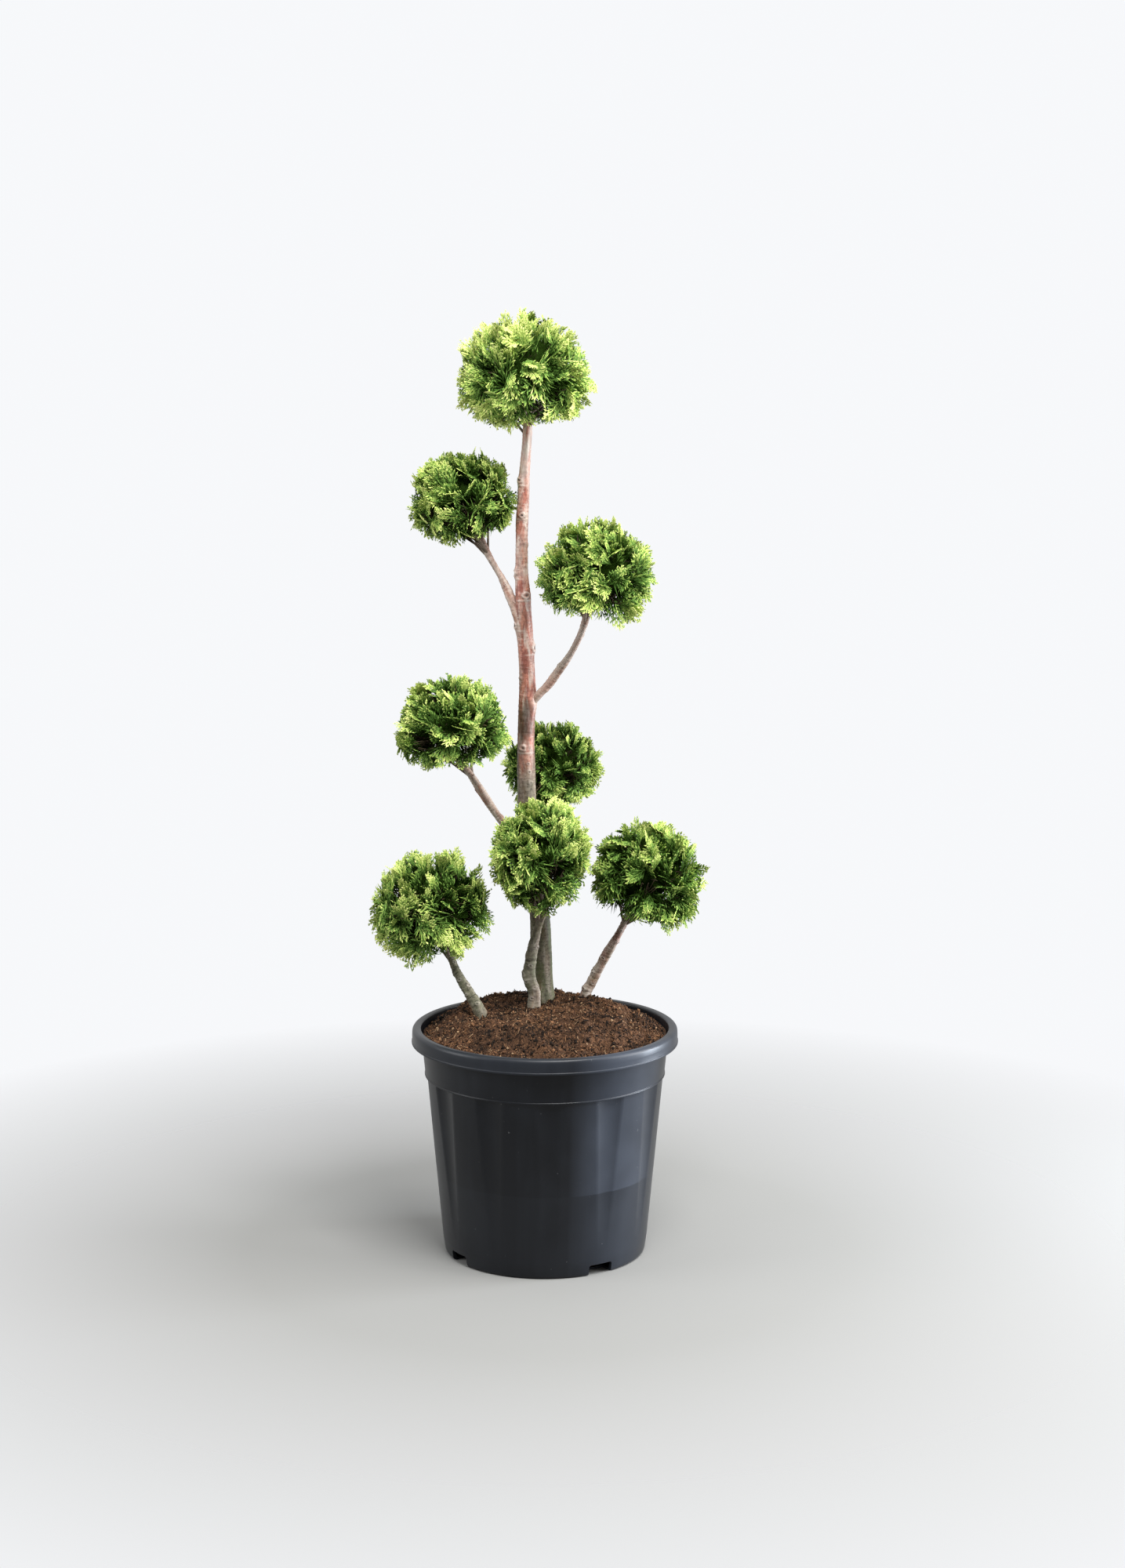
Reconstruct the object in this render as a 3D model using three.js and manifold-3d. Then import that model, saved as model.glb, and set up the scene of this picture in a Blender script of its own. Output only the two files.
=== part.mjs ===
// A false cypress trained as a cloud tree, in a round nursery pot.
// One trunk and three side stems leave the soil, and four boughs leave the trunk.
// Each of the eight limb ends carries a clipped ball of flat, fan-like sprays.
// Sizes are in millimetres, with +Z up and the front of the plant facing -Y.
// The origin is the middle of the pot's flat underside.

import * as THREE from 'three';
import { mergeVertices } from 'three/addons/utils/BufferGeometryUtils.js';
import Module from 'manifold-3d';

const wasm = await Module();
wasm.setup();

// Pot: a tapered shell with a raised band and a rim that is folded over outwards
const POT_BASE_RADIUS = 134.3;
const POT_BODY_TOP_RADIUS = 157.8;
const POT_BODY_TOP = 238;
const POT_BAND_LOW_RADIUS = 159.5;
const POT_BAND_TOP_RADIUS = 163.5;
const POT_RIM_RADIUS = 177.5;
const POT_RIM_INNER_RADIUS = 165;
const POT_RIM_LOW = 281;
const POT_RIM_TOP = 301;
const POT_EDGE_ROUND = 5;
const POT_WALL = 2.6;

// Flutes: shallow upright grooves pressed into the wall below the band
const FLUTE_COUNT = 12;
const FLUTE_FIRST_AZIMUTH = 3;
const FLUTE_FOOT = 35;
const FLUTE_DEPTH = 4.5;
const FLUTE_HALF_WIDTH_TOP = 7.4;
const FLUTE_HALF_WIDTH_FOOT = 3;
const COLUMNS_PER_FLUTE = 4;

// Drainage notches in the pot's lower edge
const NOTCH_COUNT = 4;
const NOTCH_FIRST_AZIMUTH = 33;
const NOTCH_WIDTH = 35;
const NOTCH_HEIGHT = 14.5;
const NOTCH_REACH = 22;

// Soil: fills the pot, with a level top round the stems that falls away to the wall
const SOIL_LEVEL = 320;
const SOIL_LEVEL_RADIUS = 99;
const SOIL_LEVEL_CENTRE = [-8, 10];
const SOIL_EDGE = 292;
const GAP = 0.3;

// Trunk: spine points, and a diameter that falls from foot to tip
const TRUNK_SPINE = [
  [-3.7, 75, SOIL_LEVEL],
  [-7, 75, 425],
  [-23, 72, 560],
  [-25.7, 72, 666],
  [-24.3, 74, 751],
  [-31, 75, 915],
  [-29, 75, 1005],
  [-22, 75, 1118],
];
const TRUNK_FOOT_DIAMETER = 29.5;
const TRUNK_TIP_DIAMETER = 10.6;
const TRUNK_STRAIGHT_TAPER = 0.74;
const TRUNK_FLARE = 7;
const TRUNK_FLARE_HEIGHT = 16;
const TRUNK_KNOT_HEIGHTS = [668, 725, 802, 848, 935, 979, 1024];
const TRUNK_KNOT_SWELL = 1.4;
const TRUNK_KNOT_HALF_LENGTH = 9;

// Side limbs: spine points from root to tip, with root and tip diameters
const LIMBS = {
  bough_upper_left: {
    spine: [[-29, 75, 818], [-36, 76, 838], [-52, 84, 879], [-68, 92, 908], [-91, 101, 949]],
    root: 15,
    tip: 10.6,
  },
  bough_upper_right: {
    spine: [[-24.5, 73, 718], [-7, 67, 738], [17, 58, 767], [46, 49, 815], [60, 44, 860]],
    root: 15,
    tip: 9.2,
  },
  bough_middle_left: {
    spine: [[-20, 72, 522], [-35, 69, 534], [-62, 54, 572], [-91, 40, 619], [-114, 34, 655]],
    root: 13,
    tip: 9.2,
  },
  bough_middle_back: {
    spine: [[-21, 73, 536], [-14, 95, 545], [-3, 122, 563], [10, 142, 592]],
    root: 12.5,
    tip: 9.8,
  },
  stem_front: {
    spine: [[-15, 20, SOIL_LEVEL], [-15, 20, 342], [-21, 18.5, 362], [-17, 13, 399], [0, -4, 462]],
    root: 17.5,
    tip: 9.8,
  },
  stem_lower_left: {
    spine: [[-84.3, -22, SOIL_LEVEL], [-93, -19, 338], [-117, -8, 374], [-128, 3, 405], [-132, 9, 424]],
    root: 16.5,
    tip: 10.2,
  },
  stem_lower_right: {
    spine: [[52.9, 75, SOIL_LEVEL], [61, 74, 337], [85, 65, 387], [112, 56, 436], [121, 53, 457]],
    root: 16.5,
    tip: 11,
  },
};
const LIMB_FLARE = 3;
const LIMB_FLARE_HEIGHT = 12;
const FOOT_BELOW_SOIL = 14;
const CUT_BLOCK_SIDE = 400;

// Clipped balls: centre, half width, reach above and below the centre, and seed.
// The bark limb that carries each ball is named with it.
const BALLS = {
  foliage_top: {
    limb: 'trunk', centre: [-31, 75, 1160], half: 91, up: 87, down: 74, seed: 11,
  },
  foliage_upper_left: {
    limb: 'bough_upper_left', centre: [-110, 100, 999], half: 72, up: 65, down: 63, seed: 22,
  },
  foliage_upper_right: {
    limb: 'bough_upper_right', centre: [70, 45, 900], half: 82, up: 77, down: 71, seed: 33,
  },
  foliage_middle_left: {
    limb: 'bough_middle_left', centre: [-123, 35, 694], half: 77, up: 71, down: 59, seed: 44,
  },
  foliage_middle_back: {
    limb: 'bough_middle_back', centre: [12, 143, 628], half: 68, up: 60, down: 60, seed: 55,
  },
  foliage_front: {
    limb: 'stem_front', centre: [-7, -12, 536], half: 66, up: 72, down: 89, seed: 66,
  },
  foliage_lower_left: {
    limb: 'stem_lower_left', centre: [-151, 8, 457], half: 85, up: 79, down: 86, seed: 77,
  },
  foliage_lower_right: {
    limb: 'stem_lower_right', centre: [138, 52, 494], half: 78, up: 74, down: 75, seed: 88,
  },
};
const BALL_SQUARENESS = 2.25;

// Foliage: the core that the sprays stand out of, the twigs and the toothed sprays
const CORE_SHARE_UP = 0.77;
const CORE_SHARE_DOWN = 0.56;
const CORE_DRAWN_IN = [-0.1, 0.9];
const CORE_DETAIL = 1;
const CORE_LIMB_CLEARANCE = 1.5;
const SPRAYS_PER_BALL = 22;
const SPRAY_TEETH = 4;
const SPRAY_TURN = 0.9;
const AIM_JITTER = 0.3;
const SPRAY_HALF_ANGLE = 0.5;
const SPRAY_THICKNESS = 2.4;
const SPRAY_ROOT_HALF_WIDTH = 3.5;
const SPRAY_ROOT_SHARE = 0.42;
const SPRAY_NOTCH_DEPTH = 8;
const SPRAY_TIP_SHORT = 4;
const SPRAY_LIMB_CLEARANCE = 3;
const STEM_STRAIGHT = 12;
const STEM_OVERLAP = 0.3;
const STEM_BEND_SHARE = 0.9;
const TWIG_RADIUS = 1.7;
const TWIG_TIP_RADIUS = 1.4;
const TWIG_SIDES = 3;
const TWIG_SUNK = 9;
const FUSED_TOLERANCE = 0.3;
const HALVINGS = 20;

// Bark limbs: sides of the cross-section and length of one step along the limb
const TRUNK_SIDES = 10;
const TRUNK_STEP = 28;
const LIMB_SIDES = 8;
const LIMB_STEP = 16;

const COLOURS = {
  pot: { color: 0x26282b, roughness: 0.42, metalness: 0 },
  soil: { color: 0x4b3222, roughness: 0.95, metalness: 0 },
  bark: { color: 0x8a6f62, roughness: 0.8, metalness: 0 },
  foliage: { color: 0x5f8f2c, roughness: 0.7, metalness: 0 },
};

const Z_UP = new THREE.Vector3(0, 0, 1);

function lerp(a, b, t) {
  return a + (b - a) * t;
}

function vector(point) {
  return new THREE.Vector3(point[0], point[1], point[2]);
}

// Repeatable random numbers between 0 and 1
function seededRandom(seed) {
  let state = seed * 2654435761 >>> 0;
  return () => {
    state = state + 0x6d2b79f5 >>> 0;
    let mixed = Math.imul(state ^ state >>> 15, 1 | state);
    mixed = mixed + Math.imul(mixed ^ mixed >>> 7, 61 | mixed) ^ mixed;
    return ((mixed ^ mixed >>> 14) >>> 0) / 4294967296;
  };
}

// Closed geometry to solid, and solid back to geometry
function solidOf(geometry) {
  const bare = geometry.clone();
  bare.deleteAttribute('normal');
  bare.deleteAttribute('uv');
  const merged = mergeVertices(bare, 1e-4);
  return new wasm.Manifold(new wasm.Mesh({
    numProp: 3,
    vertProperties: new Float32Array(merged.attributes.position.array),
    triVerts: new Uint32Array(merged.index.array),
  }));
}

function geometryOf(solid) {
  const mesh = solid.getMesh();
  const geometry = new THREE.BufferGeometry();
  geometry.setAttribute('position', new THREE.BufferAttribute(mesh.vertProperties.slice(), 3));
  geometry.setIndex(new THREE.BufferAttribute(mesh.triVerts.slice(), 1));
  geometry.computeVertexNormals();
  return geometry;
}

// The outer body of a fused solid: sealed hollows are filled and loose scraps left out
function outerBody(solid) {
  const bodies = solid.decompose();
  return bodies.reduce((largest, body) => (body.volume() > largest.volume() ? body : largest));
}

// Share of a flute's full width and depth at height z, and its half width in degrees
function fluteShare(z) {
  return THREE.MathUtils.clamp((z - FLUTE_FOOT) / (POT_BODY_TOP - FLUTE_FOOT), 0, 1);
}

function fluteHalfWidth(z) {
  return lerp(FLUTE_HALF_WIDTH_FOOT, FLUTE_HALF_WIDTH_TOP, fluteShare(z));
}

// A turned profile whose columns of points are drawn to the flutes' edges and middles.
// Each profile point is [radius, z, fluted]; a fluted point is pressed in at a flute's middle.
// A profile that runs down its outside is turned right way out by swapping corners, so that
// its facets are split along the same diagonals as those of a wall that stands round it.
function flutedLathe(profile, runsDown) {
  const columns = FLUTE_COUNT * COLUMNS_PER_FLUTE;
  const points = profile.map(([radius, z]) => new THREE.Vector2(radius, z));
  const geometry = new THREE.LatheGeometry(points, columns);
  geometry.rotateX(Math.PI / 2);
  const position = geometry.attributes.position;
  for (let index = 0; index < position.count; index += 1) {
    const column = Math.floor(index / profile.length) % columns;
    const [radius, z, fluted] = profile[index % profile.length];
    const place = column % COLUMNS_PER_FLUTE;
    const shift = [0, fluteHalfWidth(z), 180 / FLUTE_COUNT, 360 / FLUTE_COUNT - fluteHalfWidth(z)][place];
    const flute = Math.floor(column / COLUMNS_PER_FLUTE);
    const azimuth = FLUTE_FIRST_AZIMUTH + flute * 360 / FLUTE_COUNT + shift;
    const angle = THREE.MathUtils.degToRad(azimuth);
    const recess = fluted && place === 0 ? FLUTE_DEPTH * fluteShare(z) : 0;
    const reach = radius - recess;
    position.setXYZ(index, reach * Math.sin(angle), -reach * Math.cos(angle), z);
  }
  const index = geometry.index;
  for (let k = 0; runsDown && k < index.count; k += 3) {
    const corner = index.getX(k);
    index.setX(k, index.getX(k + 1));
    index.setX(k + 1, corner);
  }
  return geometry;
}

// Blocks that cut the drainage notches, grown on every side by a margin
function notchBlocks(margin) {
  const blocks = [];
  for (let k = 0; k < NOTCH_COUNT; k += 1) {
    const height = 2 * (NOTCH_HEIGHT + margin);
    const block = new THREE.BoxGeometry(NOTCH_WIDTH + 2 * margin, 2 * (NOTCH_REACH + margin), height);
    block.translate(0, -POT_BASE_RADIUS, 0);
    block.rotateZ(THREE.MathUtils.degToRad(NOTCH_FIRST_AZIMUTH + k * 360 / NOTCH_COUNT));
    blocks.push(solidOf(block));
  }
  return blocks;
}

function wallRadius(z) {
  return lerp(POT_BASE_RADIUS, POT_BODY_TOP_RADIUS, z / POT_BODY_TOP);
}

function potGeometry() {
  const wall = POT_WALL;
  const bandIn = POT_BAND_TOP_RADIUS - wall;
  const skirtIn = POT_RIM_RADIUS - wall;
  const profile = [
    [0, 0, false],
    [POT_BASE_RADIUS - POT_EDGE_ROUND, 0, false],
    [wallRadius(POT_EDGE_ROUND), POT_EDGE_ROUND, false],
    [wallRadius(FLUTE_FOOT), FLUTE_FOOT, false],
    [POT_BODY_TOP_RADIUS, POT_BODY_TOP, true],
    [POT_BAND_LOW_RADIUS, POT_BODY_TOP, false],
    [POT_BAND_TOP_RADIUS, POT_RIM_LOW, false],
    [POT_RIM_INNER_RADIUS + wall, POT_RIM_TOP - wall, false],
    [skirtIn, POT_RIM_TOP - wall, false],
    [skirtIn, POT_RIM_LOW, false],
    [POT_RIM_RADIUS, POT_RIM_LOW, false],
    [POT_RIM_RADIUS, POT_RIM_TOP - 2 * wall, false],
    [POT_RIM_RADIUS - wall, POT_RIM_TOP, false],
    [POT_RIM_INNER_RADIUS + wall / 2, POT_RIM_TOP, false],
    [POT_RIM_INNER_RADIUS, POT_RIM_TOP - wall / 2, false],
    [bandIn, POT_RIM_LOW, false],
    [POT_BAND_LOW_RADIUS - wall, POT_BODY_TOP + wall, false],
    [POT_BODY_TOP_RADIUS - wall, POT_BODY_TOP + wall, true],
    [wallRadius(FLUTE_FOOT) - wall, FLUTE_FOOT, false],
    [wallRadius(wall) - wall, wall, false],
    [0, wall, false],
  ];
  let pot = solidOf(flutedLathe(profile, false));
  for (const block of notchBlocks(0)) pot = pot.subtract(block);
  return geometryOf(outerBody(pot));
}

function soilGeometry() {
  const inset = POT_WALL + GAP;
  const edgeShare = (SOIL_EDGE - POT_RIM_LOW) / (POT_RIM_TOP - POT_RIM_LOW);
  const edgeRadius = lerp(POT_BAND_TOP_RADIUS, POT_RIM_INNER_RADIUS + POT_WALL, edgeShare) - inset;
  const profile = [
    [0, SOIL_LEVEL, false],
    [SOIL_LEVEL_RADIUS, SOIL_LEVEL, false],
    [edgeRadius, SOIL_EDGE, false],
    [POT_BAND_TOP_RADIUS - inset, POT_RIM_LOW, false],
    [POT_BAND_LOW_RADIUS - inset, POT_BODY_TOP + inset, false],
    [POT_BODY_TOP_RADIUS - inset, POT_BODY_TOP + inset, true],
    [wallRadius(FLUTE_FOOT) - inset, FLUTE_FOOT, false],
    [wallRadius(inset) - inset, inset, false],
    [0, inset, false],
  ];
  const geometry = flutedLathe(profile, true);
  const position = geometry.attributes.position;
  for (let index = 0; index < position.count; index += 1) {
    if (position.getZ(index) < SOIL_LEVEL) continue;
    position.setX(index, position.getX(index) + SOIL_LEVEL_CENTRE[0]);
    position.setY(index, position.getY(index) + SOIL_LEVEL_CENTRE[1]);
  }
  let soil = solidOf(geometry);
  for (const block of notchBlocks(GAP)) soil = soil.subtract(block);
  return geometryOf(outerBody(soil));
}

// Radius of the trunk at height z: a taper, a flared foot and low swellings at the knots
function trunkRadius(z) {
  const top = TRUNK_SPINE[TRUNK_SPINE.length - 1][2];
  const share = THREE.MathUtils.clamp((z - SOIL_LEVEL) / (top - SOIL_LEVEL), 0, 1);
  const fall = TRUNK_FOOT_DIAMETER - TRUNK_TIP_DIAMETER;
  const fallen = lerp(share ** 3, share, TRUNK_STRAIGHT_TAPER);
  const taper = TRUNK_FOOT_DIAMETER - fall * fallen;
  const flare = TRUNK_FLARE * Math.exp(-Math.max(z - SOIL_LEVEL, 0) / TRUNK_FLARE_HEIGHT);
  let swell = 0;
  for (const knot of TRUNK_KNOT_HEIGHTS) {
    swell += TRUNK_KNOT_SWELL * Math.exp(-(((z - knot) / TRUNK_KNOT_HALF_LENGTH) ** 2));
  }
  return (taper + flare + swell) / 2;
}

// Radius of a side limb at a share of its length: a taper with a flared root
function limbRadius(limb, share, length) {
  const flare = LIMB_FLARE * Math.exp(-share * length / LIMB_FLARE_HEIGHT);
  return (lerp(limb.root, limb.tip, share) + flare) / 2;
}

// Spine, length and radius rule of every bark limb
function limbShape(name) {
  if (name === 'trunk') {
    const curve = new THREE.CatmullRomCurve3(TRUNK_SPINE.map(vector), false, 'centripetal');
    return { curve, length: curve.getLength(), radius: (share, point) => trunkRadius(point.z) };
  }
  const limb = LIMBS[name];
  const curve = new THREE.CatmullRomCurve3(limb.spine.map(vector), false, 'centripetal');
  const length = curve.getLength();
  return { curve, length, radius: (share) => limbRadius(limb, share, length) };
}

// A bark limb: a regular polygon carried along the spine, with each section scaled to
// the limb's radius there. A limb that leaves the soil starts lower and is cut off flat.
function limbSolid(name, grow) {
  const shape = limbShape(name);
  const sides = name === 'trunk' ? TRUNK_SIDES : LIMB_SIDES;
  const step = name === 'trunk' ? TRUNK_STEP : LIMB_STEP;
  const steps = Math.round(shape.length / step);
  const section = new THREE.Shape();
  for (let k = 0; k < sides; k += 1) {
    const angle = k * 2 * Math.PI / sides;
    if (k === 0) section.moveTo(1, 0);
    else section.lineTo(Math.cos(angle), Math.sin(angle));
  }
  const geometry = new THREE.ExtrudeGeometry(section, {
    steps,
    extrudePath: shape.curve,
    bevelEnabled: false,
  });
  const spine = shape.curve.getSpacedPoints(steps);
  const position = geometry.attributes.position;
  const vertex = new THREE.Vector3();
  for (let index = 0; index < position.count; index += 1) {
    vertex.fromBufferAttribute(position, index);
    let nearest = 0;
    spine.forEach((point, k) => {
      if (point.distanceToSquared(vertex) < spine[nearest].distanceToSquared(vertex)) nearest = k;
    });
    const radius = shape.radius(nearest / steps, spine[nearest]) + grow;
    vertex.sub(spine[nearest]).setLength(radius).add(spine[nearest]);
    position.setXYZ(index, vertex.x, vertex.y, vertex.z);
  }
  return solidOf(geometry);
}

// A limb that starts in the soil gets a short foot below it, and both are cut off level
function rootedSolid(name) {
  const shape = limbShape(name);
  const foot = shape.curve.getPoint(0);
  const radius = shape.radius(0, foot);
  const sides = name === 'trunk' ? TRUNK_SIDES : LIMB_SIDES;
  const block = new THREE.CylinderGeometry(radius, radius, FOOT_BELOW_SOIL, sides);
  block.rotateX(Math.PI / 2);
  block.translate(foot.x, foot.y, SOIL_LEVEL);
  const below = new THREE.BoxGeometry(CUT_BLOCK_SIDE, CUT_BLOCK_SIDE, 2 * FOOT_BELOW_SOIL);
  below.translate(0, 0, SOIL_LEVEL - FOOT_BELOW_SOIL);
  return limbSolid(name, 0).add(solidOf(block)).subtract(solidOf(below));
}

// Distance from the centre of a ball to its clipped outline along a unit direction
function outlineReach(ball, direction) {
  const tall = direction.z > 0 ? ball.up : ball.down;
  const sum = Math.abs(direction.x / ball.half) ** BALL_SQUARENESS
    + Math.abs(direction.y / ball.half) ** BALL_SQUARENESS
    + Math.abs(direction.z / tall) ** BALL_SQUARENESS;
  return sum ** (-1 / BALL_SQUARENESS);
}

// Distance from a point inside a ball to its outline along a direction, by halving
function reachFrom(ball, start, direction) {
  const centre = vector(ball.centre);
  let near = 0;
  let far = 3 * ball.half;
  for (let k = 0; k < HALVINGS; k += 1) {
    const middle = (near + far) / 2;
    const offset = direction.clone().multiplyScalar(middle).add(start).sub(centre);
    const inside = offset.length() < outlineReach(ball, offset.clone().normalize());
    if (inside) near = middle;
    else far = middle;
  }
  return near;
}

function insideBall(ball, point) {
  const offset = point.clone().sub(vector(ball.centre));
  return offset.length() < outlineReach(ball, offset.clone().normalize());
}

// The room that every bark limb keeps clear of sprays and twigs
const barkRoom = wasm.Manifold.union(
  ['trunk', ...Object.keys(LIMBS)].map((name) => limbSolid(name, SPRAY_LIMB_CLEARANCE)),
);

function touchesBark(solid) {
  return !solid.intersect(barkRoom).isEmpty();
}

// The core: a ball at a share of the outline, drawn in more below
function coreSolid(ball) {
  const geometry = new THREE.IcosahedronGeometry(1, CORE_DETAIL);
  const position = geometry.attributes.position;
  const direction = new THREE.Vector3();
  for (let index = 0; index < position.count; index += 1) {
    direction.fromBufferAttribute(position, index).normalize();
    const low = THREE.MathUtils.smoothstep(-direction.z, ...CORE_DRAWN_IN);
    const share = lerp(CORE_SHARE_UP, CORE_SHARE_DOWN, low);
    direction.multiplyScalar(outlineReach(ball, direction) * share).add(vector(ball.centre));
    position.setXYZ(index, direction.x, direction.y, direction.z);
  }
  return solidOf(geometry);
}

// A tapered rod from one point to another
function rodSolid(from, to, fromRadius, toRadius, sides) {
  const span = to.clone().sub(from);
  const geometry = new THREE.CylinderGeometry(toRadius, fromRadius, span.length(), sides);
  geometry.rotateX(Math.PI / 2);
  geometry.translate(0, 0, span.length() / 2);
  geometry.applyQuaternion(new THREE.Quaternion().setFromUnitVectors(Z_UP, span.clone().normalize()));
  geometry.translate(from.x, from.y, from.z);
  return solidOf(geometry);
}

// One spray: a flat blade from its root, fanned out into teeth that end on the outline
function sprayPlan(ball, root, axis, side, random) {
  const points = [new THREE.Vector2(-TWIG_SUNK, -SPRAY_ROOT_HALF_WIDTH)];
  const tips = [];
  for (let k = 0; k < 2 * SPRAY_TEETH - 1; k += 1) {
    const angle = lerp(-SPRAY_HALF_ANGLE, SPRAY_HALF_ANGLE, k / (2 * SPRAY_TEETH - 2));
    const direction = axis.clone().multiplyScalar(Math.cos(angle));
    direction.addScaledVector(side, Math.sin(angle));
    const isTip = k % 2 === 0;
    const cut = isTip ? SPRAY_TIP_SHORT * random() ** 2 : SPRAY_NOTCH_DEPTH * (1 + random() / 2);
    const reach = reachFrom(ball, root, direction) - cut;
    points.push(new THREE.Vector2(reach * Math.cos(angle), reach * Math.sin(angle)));
    if (isTip) tips.push(direction.multiplyScalar(reach).add(root));
  }
  points.push(new THREE.Vector2(-TWIG_SUNK, SPRAY_ROOT_HALF_WIDTH));
  return { points, tips };
}

function spraySolid(plan, root, axis, side) {
  const geometry = new THREE.ExtrudeGeometry(new THREE.Shape(plan.points), {
    depth: SPRAY_THICKNESS,
    steps: 1,
    bevelEnabled: false,
  });
  geometry.translate(0, 0, -SPRAY_THICKNESS / 2);
  const across = new THREE.Vector3().crossVectors(axis, side);
  geometry.applyMatrix4(new THREE.Matrix4().makeBasis(axis, side, across).setPosition(root));
  return solidOf(geometry);
}

// Directions spread evenly over a sphere along a spiral
function spreadDirections(count) {
  const golden = Math.PI * (3 - Math.sqrt(5));
  return Array.from({ length: count }, (unused, k) => {
    const z = 1 - 2 * (k + 0.5) / count;
    const ring = Math.sqrt(1 - z * z);
    return new THREE.Vector3(ring * Math.cos(k * golden), ring * Math.sin(k * golden), z);
  });
}

// A clipped ball: a stem that goes on from the limb's tip, a core, and sprays on twigs
function foliageGeometry(name) {
  const ball = BALLS[name];
  const others = Object.keys(BALLS).filter((other) => other !== name).map((other) => BALLS[other]);
  const random = seededRandom(ball.seed);
  const shape = limbShape(ball.limb);
  const tip = shape.curve.getPoint(1);
  const tangent = shape.curve.getTangent(1);
  const centre = vector(ball.centre);
  const stemStart = tip.clone().addScaledVector(tangent, GAP);
  const stemBend = tip.clone().addScaledVector(tangent, STEM_STRAIGHT);
  const stemRadius = shape.radius(1, tip) - GAP;
  const bendRadius = stemRadius * STEM_BEND_SHARE;
  const overlap = stemBend.clone().lerp(stemStart, STEM_OVERLAP);
  const pieces = [
    rodSolid(stemStart, stemBend, stemRadius, bendRadius, LIMB_SIDES),
    rodSolid(overlap, centre, bendRadius, TWIG_RADIUS, LIMB_SIDES),
  ];
  for (const spread of spreadDirections(SPRAYS_PER_BALL)) {
    const jitter = new THREE.Vector3(random() - 0.5, random() - 0.5, random() - 0.5);
    const aim = spread.clone().addScaledVector(jitter, AIM_JITTER).normalize();
    const fork = stemBend.clone().lerp(centre, random() * (aim.z + 1) / 2);
    const outer = centre.clone().addScaledVector(aim, outlineReach(ball, aim));
    const axis = outer.clone().sub(fork).normalize();
    const root = centre.clone().addScaledVector(aim, outlineReach(ball, aim) * SPRAY_ROOT_SHARE);
    const upright = new THREE.Vector3().crossVectors(Z_UP, axis).cross(axis).normalize();
    const side = upright.applyAxisAngle(axis, lerp(-SPRAY_TURN, SPRAY_TURN, random()));
    const plan = sprayPlan(ball, root, axis, side, random);
    const twigEnd = root.clone().addScaledVector(axis, TWIG_SUNK);
    const twig = rodSolid(fork, twigEnd, TWIG_RADIUS, TWIG_TIP_RADIUS, TWIG_SIDES);
    const spray = spraySolid(plan, root, axis, side);
    const crowded = plan.tips.some((spot) => others.some((other) => insideBall(other, spot)));
    if (crowded || touchesBark(twig) || touchesBark(spray)) continue;
    pieces.push(twig, spray);
  }
  const core = coreSolid(ball).subtract(limbSolid(ball.limb, CORE_LIMB_CLEARANCE));
  const fused = wasm.Manifold.union([outerBody(core), ...pieces]);
  return geometryOf(outerBody(fused.simplify(FUSED_TOLERANCE)));
}

function namedMesh(name, geometry, look) {
  const mesh = new THREE.Mesh(geometry, new THREE.MeshStandardMaterial(COLOURS[look]));
  mesh.name = name;
  return mesh;
}

const model = new THREE.Group();
model.add(namedMesh('pot', potGeometry(), 'pot'));
model.add(namedMesh('soil', soilGeometry(), 'soil'));
model.add(namedMesh('trunk', geometryOf(rootedSolid('trunk')), 'bark'));
const trunkRoom = limbSolid('trunk', GAP);
for (const name of Object.keys(LIMBS)) {
  const isStem = name.startsWith('stem');
  const solid = isStem ? rootedSolid(name) : outerBody(limbSolid(name, 0).subtract(trunkRoom));
  model.add(namedMesh(name, geometryOf(solid), 'bark'));
}
for (const name of Object.keys(BALLS)) model.add(namedMesh(name, foliageGeometry(name), 'foliage'));

export default model;
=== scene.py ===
"""Visual model of a false cypress trained as a cloud tree, in a round nursery pot.

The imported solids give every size. Here the pot, the soil, the bark limbs and the eight
clipped balls of foliage get their finished surfaces, worked out with numpy in metres,
in the frame of the solids: +Z up, the front of the plant facing -Y, and the origin in the
middle of the pot's underside.
"""

import math

import bpy
import numpy as np
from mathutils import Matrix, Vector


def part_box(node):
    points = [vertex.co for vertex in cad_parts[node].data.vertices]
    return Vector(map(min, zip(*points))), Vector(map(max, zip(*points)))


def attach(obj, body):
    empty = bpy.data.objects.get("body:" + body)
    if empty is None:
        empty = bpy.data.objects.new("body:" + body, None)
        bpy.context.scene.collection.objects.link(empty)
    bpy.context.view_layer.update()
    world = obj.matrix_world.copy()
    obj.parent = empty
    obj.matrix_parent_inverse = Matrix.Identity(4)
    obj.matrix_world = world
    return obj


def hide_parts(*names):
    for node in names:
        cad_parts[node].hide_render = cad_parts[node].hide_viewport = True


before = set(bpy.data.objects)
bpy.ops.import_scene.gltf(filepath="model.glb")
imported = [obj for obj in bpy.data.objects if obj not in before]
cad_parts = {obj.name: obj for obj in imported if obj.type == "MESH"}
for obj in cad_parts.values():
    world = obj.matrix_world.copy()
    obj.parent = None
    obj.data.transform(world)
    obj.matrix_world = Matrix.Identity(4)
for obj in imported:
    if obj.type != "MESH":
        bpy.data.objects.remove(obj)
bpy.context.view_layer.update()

bl_info = {
    "name": "Cloud-trained cypress in a pot",
    "version": (1, 0, 0),
    "blender": (4, 5, 0),
    "location": "3D View > Sidebar > Cypress",
    "description": "Models the pot, soil, bark and clipped foliage of a cloud-trained cypress",
    "category": "Object",
}

MM = 0.001
BODY = "root"
UP = np.array([0, 0, 1.0])
SINES = 14

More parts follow.
